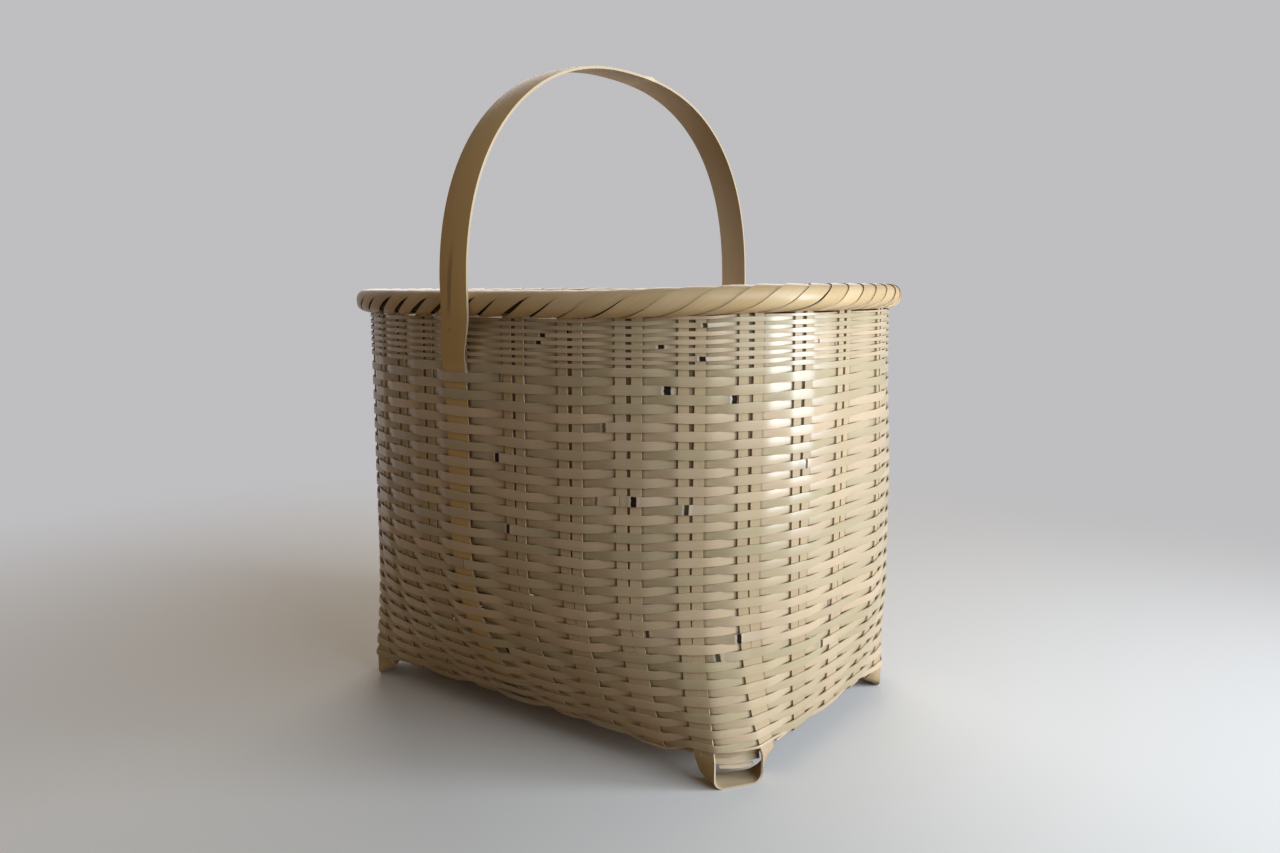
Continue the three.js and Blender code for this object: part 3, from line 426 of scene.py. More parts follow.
def thicken(bm):  # gives the laid strips their back (second look) and their cut edges (third look)
    inward = bm.verts.layers.float_vector["inward"]
    fronts = set(bm.faces)
    made = bmesh.ops.extrude_face_region(bm, geom=list(bm.faces), use_keep_orig=True)["geom"]
    backs = {g for g in made if isinstance(g, bmesh.types.BMFace)}
    for g in made:
        if isinstance(g, bmesh.types.BMVert):
            g.co += g[inward]
    for face in bm.faces:
        face.material_index = 0 if face in fronts else 1 if face in backs else 2


sharpAngle = math.radians(40)  # steeper edges aren't shaded smooth


def addObject(name, data):
    made = bpy.data.objects.new(name, data)
    bpy.context.scene.collection.objects.link(made)
    return made


def addMesh(name, bm, looks):
    mesh = bpy.data.meshes.new(name)
    bm.to_mesh(mesh)
    bm.free()
    for look in looks:
        mesh.materials.append(look)
    return addObject(name, mesh)


def finishPiece(name, bm, looks, nodes):
    bmesh.ops.recalc_face_normals(bm, faces=bm.faces)
    bm.verts.layers.float_vector.remove(bm.verts.layers.float_vector["inward"])
    piece = addMesh(name, bm, looks)
    piece.data.polygons.foreach_set("use_smooth", [True] * len(piece.data.polygons))
    piece.data.set_sharp_from_angle(angle=sharpAngle)
    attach(piece, "root")
    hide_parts(*nodes)


def makePiece(name, strips, looks, nodes, welded=False):  # a strip: ribs, faces across, crown, seed
    bm = startStrips()
    for strip in strips:
        layStrip(bm, *strip)
    if welded:
        bmesh.ops.remove_doubles(bm, verts=bm.verts, dist=1e-7)
    thicken(bm)
    finishPiece(name, bm, looks, nodes)


# stakes: flat strips, split into two tines higher up the wall
stakes = {"width": 10.0, "thick": 0.8, "tine": 4.4, "slitTop": 3.0, "slitPower": 0.8, "forkHeight": 58,
          "crown": 0.12, "halfCrown": 0.03, "tints": (0.1, 0.9), "shades": (0.3, 0.7),
          "cloud": 0.12, "cloudTurn": 0.05, "turnRadius": 2.0, "turnSteps": 6,
          "heights": (15, 18.5, 22, 27, 33, 40, 48, 58, 62, 68, 78, 92, 108, 130, 150, 170, 190, 203, 214)}


def forkShare(z):
    return clamp((z - stakes["forkHeight"]) / (wall["stakeTop"] - stakes["forkHeight"]))


def slitAt(z):
    return stakes["slitTop"] / 2 * forkShare(z) ** stakes["slitPower"]


def stakeReach(z):
    return slitAt(z) + mix(stakes["width"] / 2, stakes["tine"], forkShare(z))


def spineAt(i, z, turn):
    return {"at": wallPoint(i, z), "across": alongWall(i, z) * turn, "out": outOfWall(i, z),
            "reach": stakeReach(z), "slit": slitAt(z)}


def wallSpine(i, turn):  # from just above the base edge up to the rim
    return [spineAt(i, z, turn) for z in stakes["heights"]]


def roundTurn(before, after, corner):  # the strip bends round the base edge with a small radius
    made = []
    for n in range(1, stakes["turnSteps"]):
        t = n / stakes["turnSteps"]
        p = before["at"] * (1 - t) ** 2 + corner * (2 * t * (1 - t)) + after["at"] * t ** 2
        way = ((corner - before["at"]) * (1 - t) + (after["at"] - corner) * t).normalized()
        across = before["across"].lerp(after["across"], t).normalized()
        out = across.cross(way).normalized()
        made.append({"at": p, "across": across, "out": out, "reach": stakes["width"] / 2, "slit": 0.0})
    return made


def layStake(name, spine, seed):
    rng = random.Random(seed)
    tint, shade = rng.uniform(*stakes["tints"]), rng.uniform(*stakes["shades"])
    half = stakes["thick"] / 2
    strips = []
    for side in (-1, 1):
        ribs = []
        for s in spine:
            edge, inner = (s["at"] + s["across"] * (side * s[key]) + s["out"] * rise
                           for key, rise in (("reach", half - stakes["crown"]), ("slit", half)))
            low, high = (edge, inner) if side < 0 else (inner, edge)
            dark = stakes["cloud"] * math.sin(s["at"].z * stakes["cloudTurn"] + seed)
            ribs.append({"low": low, "high": high, "out": s["out"], "thick": stakes["thick"],
                         "tint": tint, "shade": shade + dark})
        strips.append((ribs, 2, stakes["halfCrown"], seed))
    makePiece(name, strips, stakeLooks, [name], True)


# base: stakes and slats plaited over and under the strips that cross it
base = {"wave": 0.9, "steps": 10, "edgeMargin": 3.0, "endMargin": 9.0, "leastTip": 0.5,
        "slatGap": 0.8, "slatsInside": 2, "slatsOutside": 4}
crossCount = quarter - longLeg  # cross strips on either side of the middle one
crossPitch = basePlaces[longLeg].x / crossCount
toBack, toLeft = Vector((0, 1, 0)), Vector((-1, 0, 0))


def flatRib(p, across, slope=0.0, half=stakes["width"] / 2):  # a rib in the base, outward side down
    way = across.cross(floorward) * -1
    way = (way + skyward * slope).normalized()
    out = across.cross(way).normalized()
    if out.z > 0:
        out.negate()
    return {"at": p, "across": across, "out": out, "reach": half, "slit": 0.0}


def crosswiseSpine(x, reach):
    return [flatRib(Vector((x, y * reach, wall["baseHeight"])), toLeft) for y in (-1, -0.5, 0, 0.5, 1)]


def lengthwiseSpine(y, parity, half):  # under and over the cross strips
    steps = 2 * crossCount * base["steps"]
    made = []
    for n in range(steps + 1):
        x = (n / steps * 2 - 1) * crossCount * crossPitch
        turn = math.pi * (x / crossPitch + parity)
        z = wall["baseHeight"] + base["wave"] * math.cos(turn)
        slope = -base["wave"] * math.sin(turn) * math.pi / crossPitch
        made.append(flatRib(Vector((x, y, z)), toBack, slope, half))
    return made


def joinWalls(downStation, upStation, middle):
    down, up = list(reversed(wallSpine(downStation, -1))), wallSpine(upStation, 1)
    downCorner, upCorner = (wallPoint(i, wall["baseHeight"]) for i in (downStation, upStation))
    downTurn, upTurn = roundTurn(down[-1], middle[0], downCorner), roundTurn(middle[-1], up[0], upCorner)
    return [*down, *downTurn, *middle, *upTurn, *up]


def layCrossStakes():
    for k in range(longLeg + 1, quarter + 1):
        for station in ([k] if k == quarter else [k, stations // 2 - k]):
            number = stations // 2 - longLeg - station
            name = "cross_stake_middle" if k == quarter else "cross_stake_%d" % number
            x = wallPoint(station, wall["baseHeight"]).x
            middle = crosswiseSpine(x, wall["baseWidth"] / 2 - stakes["turnRadius"])
            layStake(name, joinWalls(stations - station, station, middle), 100 + station)


def slatRows(start, width, count):  # slats side by side from a start, on both sides of the middle
    rows = []
    for s in range(count):
        y = start + base["slatGap"] + s * (width + base["slatGap"]) + width / 2
        rows += [(y, None, width / 2), (-y, None, width / 2)]
    return rows


def baseRows():  # lengthwise strips from front to back: place, which stake, half of the width
    half, gap = stakes["width"] / 2, base["slatGap"]
    shortPitch = basePlaces[shortLeg].y / shortLeg
    inside = (shortPitch - stakes["width"] - gap * (base["slatsInside"] + 1)) / base["slatsInside"]
    outer = shortPitch + half
    outside = (wall["baseWidth"] / 2 - base["edgeMargin"] - outer) / base["slatsOutside"] - gap
    rows = [(k * shortPitch, k, half) for k in (-1, 0, 1)]
    rows += slatRows(half, inside, base["slatsInside"]) + slatRows(outer, outside, base["slatsOutside"])
    return sorted(rows, key=lambda row: row[0])


def laySlat(number, y, half, order):  # its tips stop short of the cut corners
    cut = clamp((abs(y) + half - wall["baseWidth"] / 2 + wall["cutWidth"]) / wall["cutWidth"])
    reach = wall["baseLength"] / 2 - wall["cutLength"] * cut - base["edgeMargin"] - crossCount * crossPitch
    spine = lengthwiseSpine(y, order, half)
    left, right = (flatRib(end["at"] + Vector((side * max(reach, base["leastTip"]), 0, 0)), toBack, 0, half)
                   for side, end in ((-1, spine[0]), (1, spine[-1])))
    layStake("base_slat_%d" % number, [left, *spine, right], 200 + order)


def layLongStake(k, y, half, order):
    reach = wall["baseLength"] / 2 - stakes["turnRadius"]
    left, right = (flatRib(Vector((side * reach, y, wall["baseHeight"])), toBack) for side in (-1, 1))
    middle = [left, *lengthwiseSpine(y, order, half), right]
    name = ("long_stake_front", "long_stake_middle", "long_stake_back")[k + 1]
    layStake(name, joinWalls(stations // 2 - k, k % stations, middle), 200 + order)


def buildStakes():
    layCrossStakes()
    number = 0
    rows = baseRows()
    for order, (y, k, half) in enumerate(rows):
        if k is None:
            number += 1
            laySlat(number, y, half, order)
        else:
            layLongStake(k, y, half, order)
    for side, name in ((-1, "base_end_strip_left"), (1, "base_end_strip_right")):
        spine = crosswiseSpine(side * crossCount * crossPitch, wall["baseWidth"] / 2 - base["endMargin"])
        layStake(name, spine, 300 + side)
    print("stakes and base laid: %d lengthwise strips" % len(rows))


buildStakes()

# feet: by the station of the first leg, the corner and how many degrees the loop leans
feet = {"radius": 4.5, "drops": 5, "bends": 9,
        "corners": {3: ("right_back", 24), 12: ("left_back", 20),
                    17: ("left_front", 28), 26: ("right_front", 8)}}


def cornerLegs(downStation, upStation):  # crosswise way and side of both legs, their edges at the corner
    level, half = wall["baseHeight"], stakes["width"] / 2
    legs = [(alongWall(downStation, level) * -1, 1), (alongWall(upStation, level), -1)]
    edges = [wallPoint(i, level) + across * half for i, (across, side) in zip((downStation, upStation), legs)]
    return legs, edges


def footPath():  # down the leg and round to the ground: height, inset, angle of the bend, share of the turn
    level, floor, radius = wall["baseHeight"], stakes["thick"] / 2, feet["radius"]
    drop = level - floor - radius
    length = drop + radius * math.pi / 2
    path = []
    for n in range(1, feet["drops"]):
        path.append((level - drop * n / feet["drops"], 0.0, 0.0, drop * n / feet["drops"] / length))
    for n in range(feet["bends"] + 1):
        angle = math.pi / 2 * n / feet["bends"]
        z, inset = floor + radius * (1 - math.sin(angle)), radius * (1 - math.cos(angle))
        path.append((z, inset, angle, (drop + radius * angle) / length))
    return path


def footSpine(downStation, upStation, lean):  # down one leg, flat on the ground, up the other
    level, half = wall["baseHeight"], stakes["width"] / 2
    legs, edges = cornerLegs(downStation, upStation)
    run = (edges[1] - edges[0]).normalized()
    flatAcross = run.cross(floorward) * math.cos(lean) + floorward * math.sin(lean)

    def rib(edge, legAcross, side, z, inset, angle, turn):
        across = legAcross.lerp(flatAcross, turn).normalized()
        travel = run * math.sin(angle) + floorward * (side * math.cos(angle))
        at = edge + run * (side * inset) - across * half
        at.z = z - across.z * half
        out = across.cross(travel).normalized()
        return {"at": at, "across": across, "out": out, "reach": half, "slit": 0.0}

    down, up = ([rib(edge, *leg, *place) for place in footPath()] for edge, leg in zip(edges, legs))
    middle = dict(down[-1], at=(down[-1]["at"] + up[-1]["at"]) / 2)
    return [*reversed(wallSpine(downStation, -1)), spineAt(downStation, level, -1), *down, middle,
            *reversed(up), spineAt(upStation, level, 1), *wallSpine(upStation, 1)]


for station, (corner, lean) in feet["corners"].items():
    spine = footSpine(station, station - 1, math.radians(lean))
    layStake("foot_strip_" + corner, spine, 400 + station)
print("feet bent")

# cut ends of the wefts that show above each foot, leaning in by degrees and reaching past the legs by a share
tails = {"thick": 0.6, "crown": 0.08, "steps": 12, "bow": 1.5, "ripple": 0.35,
         "taper": (1.02, 0.75), "tip": 0.4,
         "strips": ({"inset": 2.4, "z": 15.9, "width": 4.2, "lean": 6, "past": 0.2, "slope": 0.25},
                    {"inset": 2.9, "z": 12.0, "width": 3.8, "lean": 16, "past": 0.03, "slope": 0.3},
                    {"inset": 1.8, "z": 9.2, "width": 1.8, "lean": 48, "past": -0.14, "slope": 0.12})}


def tailRibs(tail, order, edges, outward):
    run = edges[1] - edges[0]
    lean = math.radians(tail["lean"])
    up = skyward * math.cos(lean) - outward * math.sin(lean)
    out = run.cross(up).normalized()
    out = out if out.dot(outward) > 0 else -out
    ribs = []
    for n in range(tails["steps"] + 1):
        t = mix(-tail["past"], 1 + tail["past"], n / tails["steps"])
        at = edges[0].lerp(edges[1], t) - outward * (tail["inset"] + tails["bow"] * (2 * t - 1) ** 2)
        at.z = tail["z"] + tail["slope"] * (2 * t - 1) * 2 + tails["ripple"] * math.sin(7 * t + order)
        tip = mix(tails["tip"], 1, smoothStep(*tails["taper"], t))  # the short one narrows at one end
        half = tail["width"] / 2 * (1 if tail["past"] > 0 else tip)
        ribs.append({"low": at - up * half, "high": at + up * half, "out": out, "thick": tails["thick"],
                     "tint": 0.3 + 0.3 * order, "shade": 0.5})
    return ribs


def layTails(station, name):
    edges = cornerLegs(station, station - 1)[1]
    outward = floorward.cross(edges[1] - edges[0]).normalized()
    outward = outward if outward.dot(edges[0]) > 0 else -outward
    strips = [(tailRibs(tail, order, edges, outward), 2, tails["crown"], station + order)
              for order, tail in enumerate(tails["strips"])]
    makePiece(name, strips, weftLooks, [])


for station, (corner, lean) in feet["corners"].items():
    layTails(station, "weft_tails_" + corner)
print("cut ends tucked in")

# wefts: two strips chase each other round the wall, each outside every other stake
weave = {"lengths": 4, "growth": 1.4, "taper": 1, "thick": 0.6, "joinGap": 1.2, "curveSteps": 8,
         "start": 1.2, "narrowStart": 185.0, "narrowTop": 205.6,
         "topRise": 2.4, "topRiseReach": (5.2, 1.8),  # the upper rows follow the rim where it stands higher
         "lowRise": (0, 0, -1.2, -1.2, -1.2, 0.4, 1.4, 2.0), "openCorner": {25: 3.4, 26: 3.2}, "riseFade": 32,
         "lapReach": 5.5, "lapLeast": 0.3, "play": 0.06, "bow": 0.06, "sink": 0.12,
         # sunk: where along a swing towards a stake it passes behind, the painted shade sets in
         "pull": 0.7, "cornerPulls": (0.4, 0.85), "sunk": (0.86, 1.05),
         "wander": 0.4, "slowNoise": 0.022, "quickNoise": 0.07, "calmTop": (204, 176), "calmLow": (13, 30),
         "tuckRows": {21: 42, 7: 41}, "tuckDip": 0.9, "tuckReach": 1.5, "flatShare": 0.45, "endShare": 0.5,
         "caneSteps": (16, 46), "caneSpare": 60, "caneShades": (0.25, 0.75), "tintNoise": 0.15,
         "slackNoise": 0.55, "slackLeast": 0.3}
bands = {"wide": {"rows": 44, "gap": 0.08, "lap": 0.36, "across": 4, "crown": 0.1},
         "narrow": {"rows": 13, "gap": 0.12, "lap": 0.36 * 0.9, "across": 2, "crown": 0.05}}
# joints of the bamboo: spacing in steps where hidden, then station, height and blackness of those shown
joints = {"first": (2, 9), "spacing": (8, 15), "inks": (0.25, 1.0), "hidden": (2.4, 15.4),
          "far": 60, "clear": 8, "fade": (28, 16), "bulge": 0.12, "bulgeReach": 2.2,
          "shown": ((24.66, 178.0, 1.0), (25.22, 189.0, 1.0), (25.76, 174.5, 0.9), (25.24, 203.5, 0.7),
                    (24.56, 195.5, 0.8), (27.36, 195.0, 0.35), (27.76, 194.0, 0.5), (23.62, 161.0, 0.45),
                    (27.1, 143.0, 0.5), (28.82, 153.0, 0.3), (21.74, 142.5, 1.0), (24.14, 130.5, 0.9),
                    (24.96, 127.5, 0.7), (23.48, 126.0, 0.3), (21.92, 112.0, 0.7), (20.86, 84.0, 0.9),
                    (21.06, 91.5, 0.15), (20.34, 132.0, 0.4), (20.12, 145.5, 0.35), (24.06, 84.5, 0.35),
                    (22.6, 198.0, 1.0), (22.52, 195.0, 0.9), (22.98, 200.5, 0.8), (22.88, 203.0, 0.6),
                    (21.76, 180.5, 0.3), (20.42, 177.0, 0.2), (25.8, 65.5, 0.8), (25.44, 61.5, 0.6),
                    (27.76, 72.0, 0.6), (27.92, 71.5, 0.5), (27.6, 52.0, 0.6), (21.48, 49.0, 0.8),
                    (24.3, 69.5, 0.6))}


def bandRange(band, i):  # climbs at which the band's rows start and end
    middle = climbTo(i, weave["narrowStart"])
    if band == "wide":
        return weave["start"], middle
    raised = weave["topRise"] * smoothStep(*weave["topRiseReach"], min(i, stations - i))
    return middle, climbTo(i, weave["narrowTop"]) + raised


bandRanges = {(band, i): bandRange(band, i) for band in bands for i in range(stations)}
frames = {}


def wallFrame(i, z):  # along and out of the wall, kept for each quarter of a millimetre
    key = (i % stations, round(z * 4))
    if key not in frames:
        frames[key] = (alongWall(i, z), outOfWall(i, z))
    return frames[key]


def rowHeight(band, i, row):
    low, high = bandRanges[band, i]
    distance = mix(low, high, clamp(row / bands[band]["rows"]))
    if band == "wide":  # the lowest rows aren't level
        rise = weave["openCorner"].get(i, weave["lowRise"][quarterOf(i)])
        distance += rise * clamp(1 - distance / weave["riseFade"]) ** 2
    return heightAt(i, distance)


def weftPoint(i, z, offset, d):
    way, out = wallFrame(i, z)
    return wallPoint(i, z) + way * d + out * offset


def wanderAt(p):  # slow and quick unevenness of a row
    calm = smoothStep(*weave["calmTop"], p.z) * smoothStep(*weave["calmLow"], p.z)
    slow = noise.noise(p * weave["slowNoise"]) * weave["wander"] * 2 * calm
    return slow + noise.noise(p * weave["quickNoise"] + skyward * 40) * weave["wander"] * 0.5 * calm


def passOffset(band, i, row, outside):
    gap = weave["bow"] if outside else weave["sink"]
    stack = stakes["thick"] / 2 + weave["play"] + weave["thick"] / 2 + gap
    if outside and band == "wide" and row <= weave["tuckRows"].get(i, -1):
        stack += stakes["thick"] + weave["play"]  # over the handle's end
    return (stack if outside else -stack) + weave["thick"] / 2


def weftStops(band, first, parity, start, end):  # flat runs at the stakes, with both edges' heights
    stops = []
    for step in range(start, end + 1):
        i = (first + step) % stations
        top = 2 * step / stations
        low, high = (clamp(row, 0, bands[band]["rows"]) for row in (top - 1, top))
        zLow, zHigh = rowHeight(band, i, low), rowHeight(band, i, high)
        below = weave["tuckRows"].get(i, -9) - (low + high) / 2 + 0.5
        if band == "wide" and below > -0.6:  # the rows round the handle's end are pressed down
            zLow, zHigh = (z - weave["tuckDip"] * math.exp(-max(below, 0) / 4) for z in (zLow, zHigh))
        reach = stakeReach((zLow + zHigh) / 2)
        outside = i % 2 == parity
        if outside and i in weave["tuckRows"] and band == "wide":
            reach += weave["tuckReach"]
        stops.append({"step": step, "i": i, "low": zLow, "high": zHigh, "reach": reach, "outside": outside,
                      "offset": passOffset(band, i, int((low + high) / 2), outside)})
    return stops


def curveRib(a, b, t):  # the strip swings from one stake's outside to the next one's inside
    corner = isLeg(a["i"]) and isLeg(b["i"]) and quarterOf(a["i"]) != quarterOf(b["i"])
    pull = mix(*weave["cornerPulls"], swellAt(a["low"])) if corner else weave["pull"]
    square, cube = t ** 2, t ** 3
    edges, ways = [], []
    for edge in ("low", "high"):
        p = weftPoint(a["i"], a[edge], a["offset"], a["reach"])
        q = weftPoint(b["i"], b[edge], b["offset"], -b["reach"])
        length = (q - p).length * pull
        m = wallFrame(a["i"], a[edge])[0] * length
        n = wallFrame(b["i"], b[edge])[0] * length
        point = p * (2 * cube - 3 * square + 1) + m * (cube - 2 * square + t)
        way = p * (6 * square - 6 * t) + m * (3 * square - 4 * t + 1)
        edges.append(point + q * (3 * square - 2 * cube) + n * (cube - square))
        ways.append(way + q * (6 * t - 6 * square) + n * (3 * square - 2 * t))
    return edges[0], edges[1], (ways[0] + ways[1]).normalized()


def lapAt(away):  # how much of the lap a strip has, by the distance from the stake that it covers
    return weave["lapLeast"] + (1 - weave["lapLeast"]) * math.exp(-(away / weave["lapReach"]) ** 2)


def flatRibs(stop, offsets):  # over or under a stake
    ribs = []
    for d in offsets:
        low, high = (weftPoint(stop["i"], stop[edge], stop["offset"], d) for edge in ("low", "high"))
        room = rooms[stop["i"] if d > 0 else stop["i"] - 1]
        # deep: 1 where the weft passes behind the stake, setting the painted shade there
        ribs.append({"low": low, "high": high, "way": wallFrame(stop["i"], stop["low"])[0],
                     "deep": 0.0 if stop["outside"] else 1.0, "step": stop["step"] + d / room,
                     "grow": lapAt(abs(d)) if stop["outside"] else 0.0})
    return ribs


def swingRibs(stop, after):  # from one stake to the next
    room = rooms[stop["i"]]
    covered = stop if stop["outside"] else after
    ribs = []
    for c in range(1, weave["curveSteps"]):
        t = c / weave["curveSteps"]
        low, high, way = curveRib(stop, after, t)
        place = mix(stop["reach"], room - after["reach"], t) / room
        sunk = t if stop["outside"] else 1 - t
        away = covered["reach"] + sunk * (room - stop["reach"] - after["reach"])
        # deep: rises where the weft dips behind the next stake, setting the painted shade there
        ribs.append({"low": low, "high": high, "way": way, "step": stop["step"] + place,
                     "deep": smoothStep(*weave["sunk"], sunk), "grow": lapAt(away)})
    return ribs


def weftRibs(band, first, parity, start, end):
    stops = weftStops(band, first, parity, start, end)
    gap = weave["joinGap"] / 2
    ribs = []
    for n, stop in enumerate(stops):
        reach = stop["reach"]
        offsets = [-reach, -reach * weave["flatShare"], 0, reach * weave["flatShare"], reach]
        if n == 0:
            offsets = [gap, reach * weave["endShare"], reach]
        elif n == len(stops) - 1:
            offsets = [-reach, -reach * weave["endShare"], -gap]
        ribs += flatRibs(stop, offsets)
        if n + 1 < len(stops):
            ribs += swingRibs(stop, stops[n + 1])
    return ribs


def stripParts(rng, last, parity, first):  # the canes that make one weft: start, tint, shade
    parts, step = [], 0
    while step < last + weave["caneSpare"]:
        parts.append((step, rng.random(), rng.uniform(*weave["caneShades"])))
        step += rng.randint(*weave["caneSteps"])
        step += (first + step) % 2 == parity
    return parts


def markSteps(band, first, rng, last):  # where a bamboo joint shows: step along the weft and how black it is
    marks = []
    step = rng.uniform(*joints["first"])
    while step < last:
        if joints["hidden"][0] <= (first + step) % stations <= joints["hidden"][1]:
            marks.append((step, rng.uniform(*joints["inks"])))
        step += rng.uniform(*joints["spacing"])
    for place, z, ink in joints["shown"]:
        if (z > weave["narrowStart"]) != (band == "narrow"):
            continue
        turnStep = (place - first) % stations
        i = round(place) % stations
        low, high = bandRanges[band, i]
        row = (climbTo(i, z) - low) / (high - low) * bands[band]["rows"]
        wanted = (row + 0.5) * (stations / 2)
        turn = round((wanted - turnStep) / stations)
        if turn >= 0 and abs(turnStep + turn * stations - wanted) <= stations / 4:
            marks.append((turnStep + turn * stations, ink))
    return sorted(marks)


def colourRib(rib, parts, marks, first):
    step = rib["step"]
    start, tint, shade = parts[bisect.bisect_right([p[0] for p in parts], step) - 1]
    rib["tint"] = clamp(tint + weave["tintNoise"] * noise.noise(Vector((step * 0.2, tint * 50, 0))))
    rib["shade"] = shade
    near, other = sorted(marks, key=lambda m: abs(m[0] - step))[:2]
    room = rooms[int(first + step) % stations]
    rib["nodeGap"] = clamp((step - near[0]) * room, -joints["far"], joints["far"])
    apart = (abs(step - other[0]) - abs(step - near[0])) * room
    rib["ink"] = near[1] * clamp(apart / joints["clear"]) * smoothStep(*joints["fade"], abs(rib["nodeGap"]))


def shapeRib(rib, band, drift):  # slack or lap at both edges, an uneven course, a bulge at a joint
    lift = rib["high"] - rib["low"]
    size = lift.length
    lift /= size
    ease = min(1.0, size / 2)
    slack = bands[band]["gap"] * ease
    wider = bands[band]["lap"] * rib["grow"] * ease
    under, over = (0.5 + 0.5 * noise.noise(Vector((rib["step"] * weave["slackNoise"], drift, z)))
                   for z in (2.0, 7.0))
    rib["low"] = rib["low"] + lift * (slack * (weave["slackLeast"] + under) - wider)
    rib["high"] = rib["high"] - lift * (slack * (weave["slackLeast"] + over) - wider)
    rib["out"] = rib["way"].cross(lift).normalized()
    rib["thick"] = weave["thick"]
    bulge = math.exp(-(rib["nodeGap"] / joints["bulgeReach"]) ** 2) * joints["bulge"]
    for edge in ("low", "high"):
        rib[edge] = rib[edge] + skyward * wanderAt(rib[edge])
        rib[edge] = rib[edge] + rib["out"] * bulge


def weaveBand(band, lengths, label, seed):
    last = (bands[band]["rows"] + 1) * (stations // 2) - weave["taper"]
    for order, which in enumerate("ab"):
        rng = random.Random(seed + order)
        first = 3 * quarter + order * (stations // 2)
        parts = stripParts(rng, last, order, first)
        marks = markSteps(band, first, rng, last)
        ends = [weave["taper"]]
        for n in range(1, lengths):
            step = round(mix(weave["taper"], last, (n / lengths) ** weave["growth"]))
            ends.append(step + ((first + step) % 2 == order))
        ends.append(last)
        for n in range(lengths):
            ribs = weftRibs(band, first, order, ends[n], ends[n + 1])
            for rib in ribs:
                colourRib(rib, parts, marks, first)
                shapeRib(rib, band, seed + order * 9.1)
            strip = (ribs, bands[band]["across"], bands[band]["crown"], seed + order * 7 + n)
            name = "%s_%s%d" % (label, which, n + 1) if lengths > 1 else "%s_%s" % (label, which)
            makePiece(name, [strip], weftLooks, [name])
    print("%s rows woven: %d" % (band, bands[band]["rows"]))


weaveBand("wide", weave["lengths"], "weft", 20)
weaveBand("narrow", 1, "narrow_weft", 40)

# rim: hoops inside, coloured near-black as painted shade for the gaps between the ribbon's turns, wound with
# one ribbon that goes round the rim three times
rim = {"middle": 0.85, "half": 6.9, "halfHeight": 5.45, "centre": 211.95, "square": 2.3,
       "rise": 2.8, "riseReach": (150, 50), "turns": 56, "rounds": 3, "ribs": 28, "thick": 0.5,
       "skinGap": 0.02, "lift": 0.55, "cover": 0.5, "sway": 3.0, "crown": 0.25,
       "shades": (0.2, 0.8), "shift": (-0.6, 0.6), "swell": (-0.35, 0.35),
       # stations, and how far the turns stand apart there
       "pinchPlaces": (14.5, 19.5, 21.5, 22.6, 23.2, 24.5, 31, 34, 42.5),
       "pinches": (0.20, 0.17, 0.11, 0.05, 0.015, 0.0, 0.0, 0.08, 0.2)}
hoops = {"shrink": 1.1, "flatten": 0.98, "seat": 0.6, "steps": 168, "sides": 12, "grain": 20}


def rimRise(distance):  # the right side stands a little higher
    away = abs((distance / rimGirth + 0.5) % 1 - 0.5) * rimGirth
    return rim["rise"] * smoothStep(*rim["riseReach"], away)


def pinchAt(distance):
    begin = rim["pinchPlaces"][0]
    n, share = findSpan(rim["pinchPlaces"], (distance / rimGirth * stations - begin) % stations + begin)
    return mix(rim["pinches"][n - 1], rim["pinches"][n], share)


def rimLevel(distance):  # level direction out of the rim line
    way = (ovalAt(distance + 1.5) - ovalAt(distance - 1.5)).normalized()
    return Vector((way.y, -way.x, 0))


def rimPlace(distance, angle, grow=0.0):  # angle 0 outside, a quarter turn up
    p = ovalAt(distance)
    c, s = math.cos(angle), math.sin(angle)
    power = 2 / rim["square"]
    across = math.copysign(abs(c) ** power, c) * (rim["half"] + grow)
    rise = math.copysign(abs(s) ** power, s) * (rim["halfHeight"] + grow)
    middle = Vector((p.x, p.y, rim["centre"] + rimRise(distance) + rise))
    return middle + rimLevel(distance) * (rim["middle"] + across)


def rimOut(distance, angle):
    along = rimPlace(distance + 1, angle) - rimPlace(distance - 1, angle)
    upward = rimPlace(distance, angle + 0.02) - rimPlace(distance, angle - 0.02)
    return along.cross(upward).normalized()


def windRim():
    rng = random.Random(7)
    pitch = rimGirth / rim["turns"]
    turnLooks = []  # tint, shade, shift and swell of each turn
    for _ in range(rim["turns"] + 2):
        tint, shade = rng.random(), rng.uniform(*rim["shades"])
        turnLooks.append((tint, shade, rng.uniform(*rim["shift"]), rng.uniform(*rim["swell"])))
    ribs = []
    for n in range(rim["turns"] * rim["ribs"] + 1):
        turn = n / rim["ribs"]
        angle = turn * 2 * math.pi - math.pi / 2
        share = smoothStep(0.0, 1.0, turn - int(turn))
        looks = zip(turnLooks[int(turn)], turnLooks[int(turn) + 1])
        tint, shade, shift, swell = (mix(here, after, share) for here, after in looks)
        distance = turn * pitch * rim["rounds"] + shift + rim["sway"] * math.sin(angle)
        facing = smoothStep(0.75, 0.0, math.sin(angle)) * smoothStep(-0.5, 0.4, math.cos(angle))
        pinch = pinchAt(distance) * (0.75 + 0.5 * shade)
        half = pitch * rim["cover"] + swell * 0.6 - facing * pitch * pinch
        out = rimOut(distance, angle)
        low, high = (rimPlace(distance + side * half, angle, rim["skinGap"]) for side in (-1, 1))
        ribs.append({"low": low + out * rim["lift"], "high": high, "out": out, "thick": rim["thick"],
                     "tint": tint, "shade": shade})
    makePiece("rim_wrap", [(ribs, 6, rim["crown"], 51)], wrapLooks, ["rim_wrap"])
    print("rim wound: %d turns" % rim["turns"])


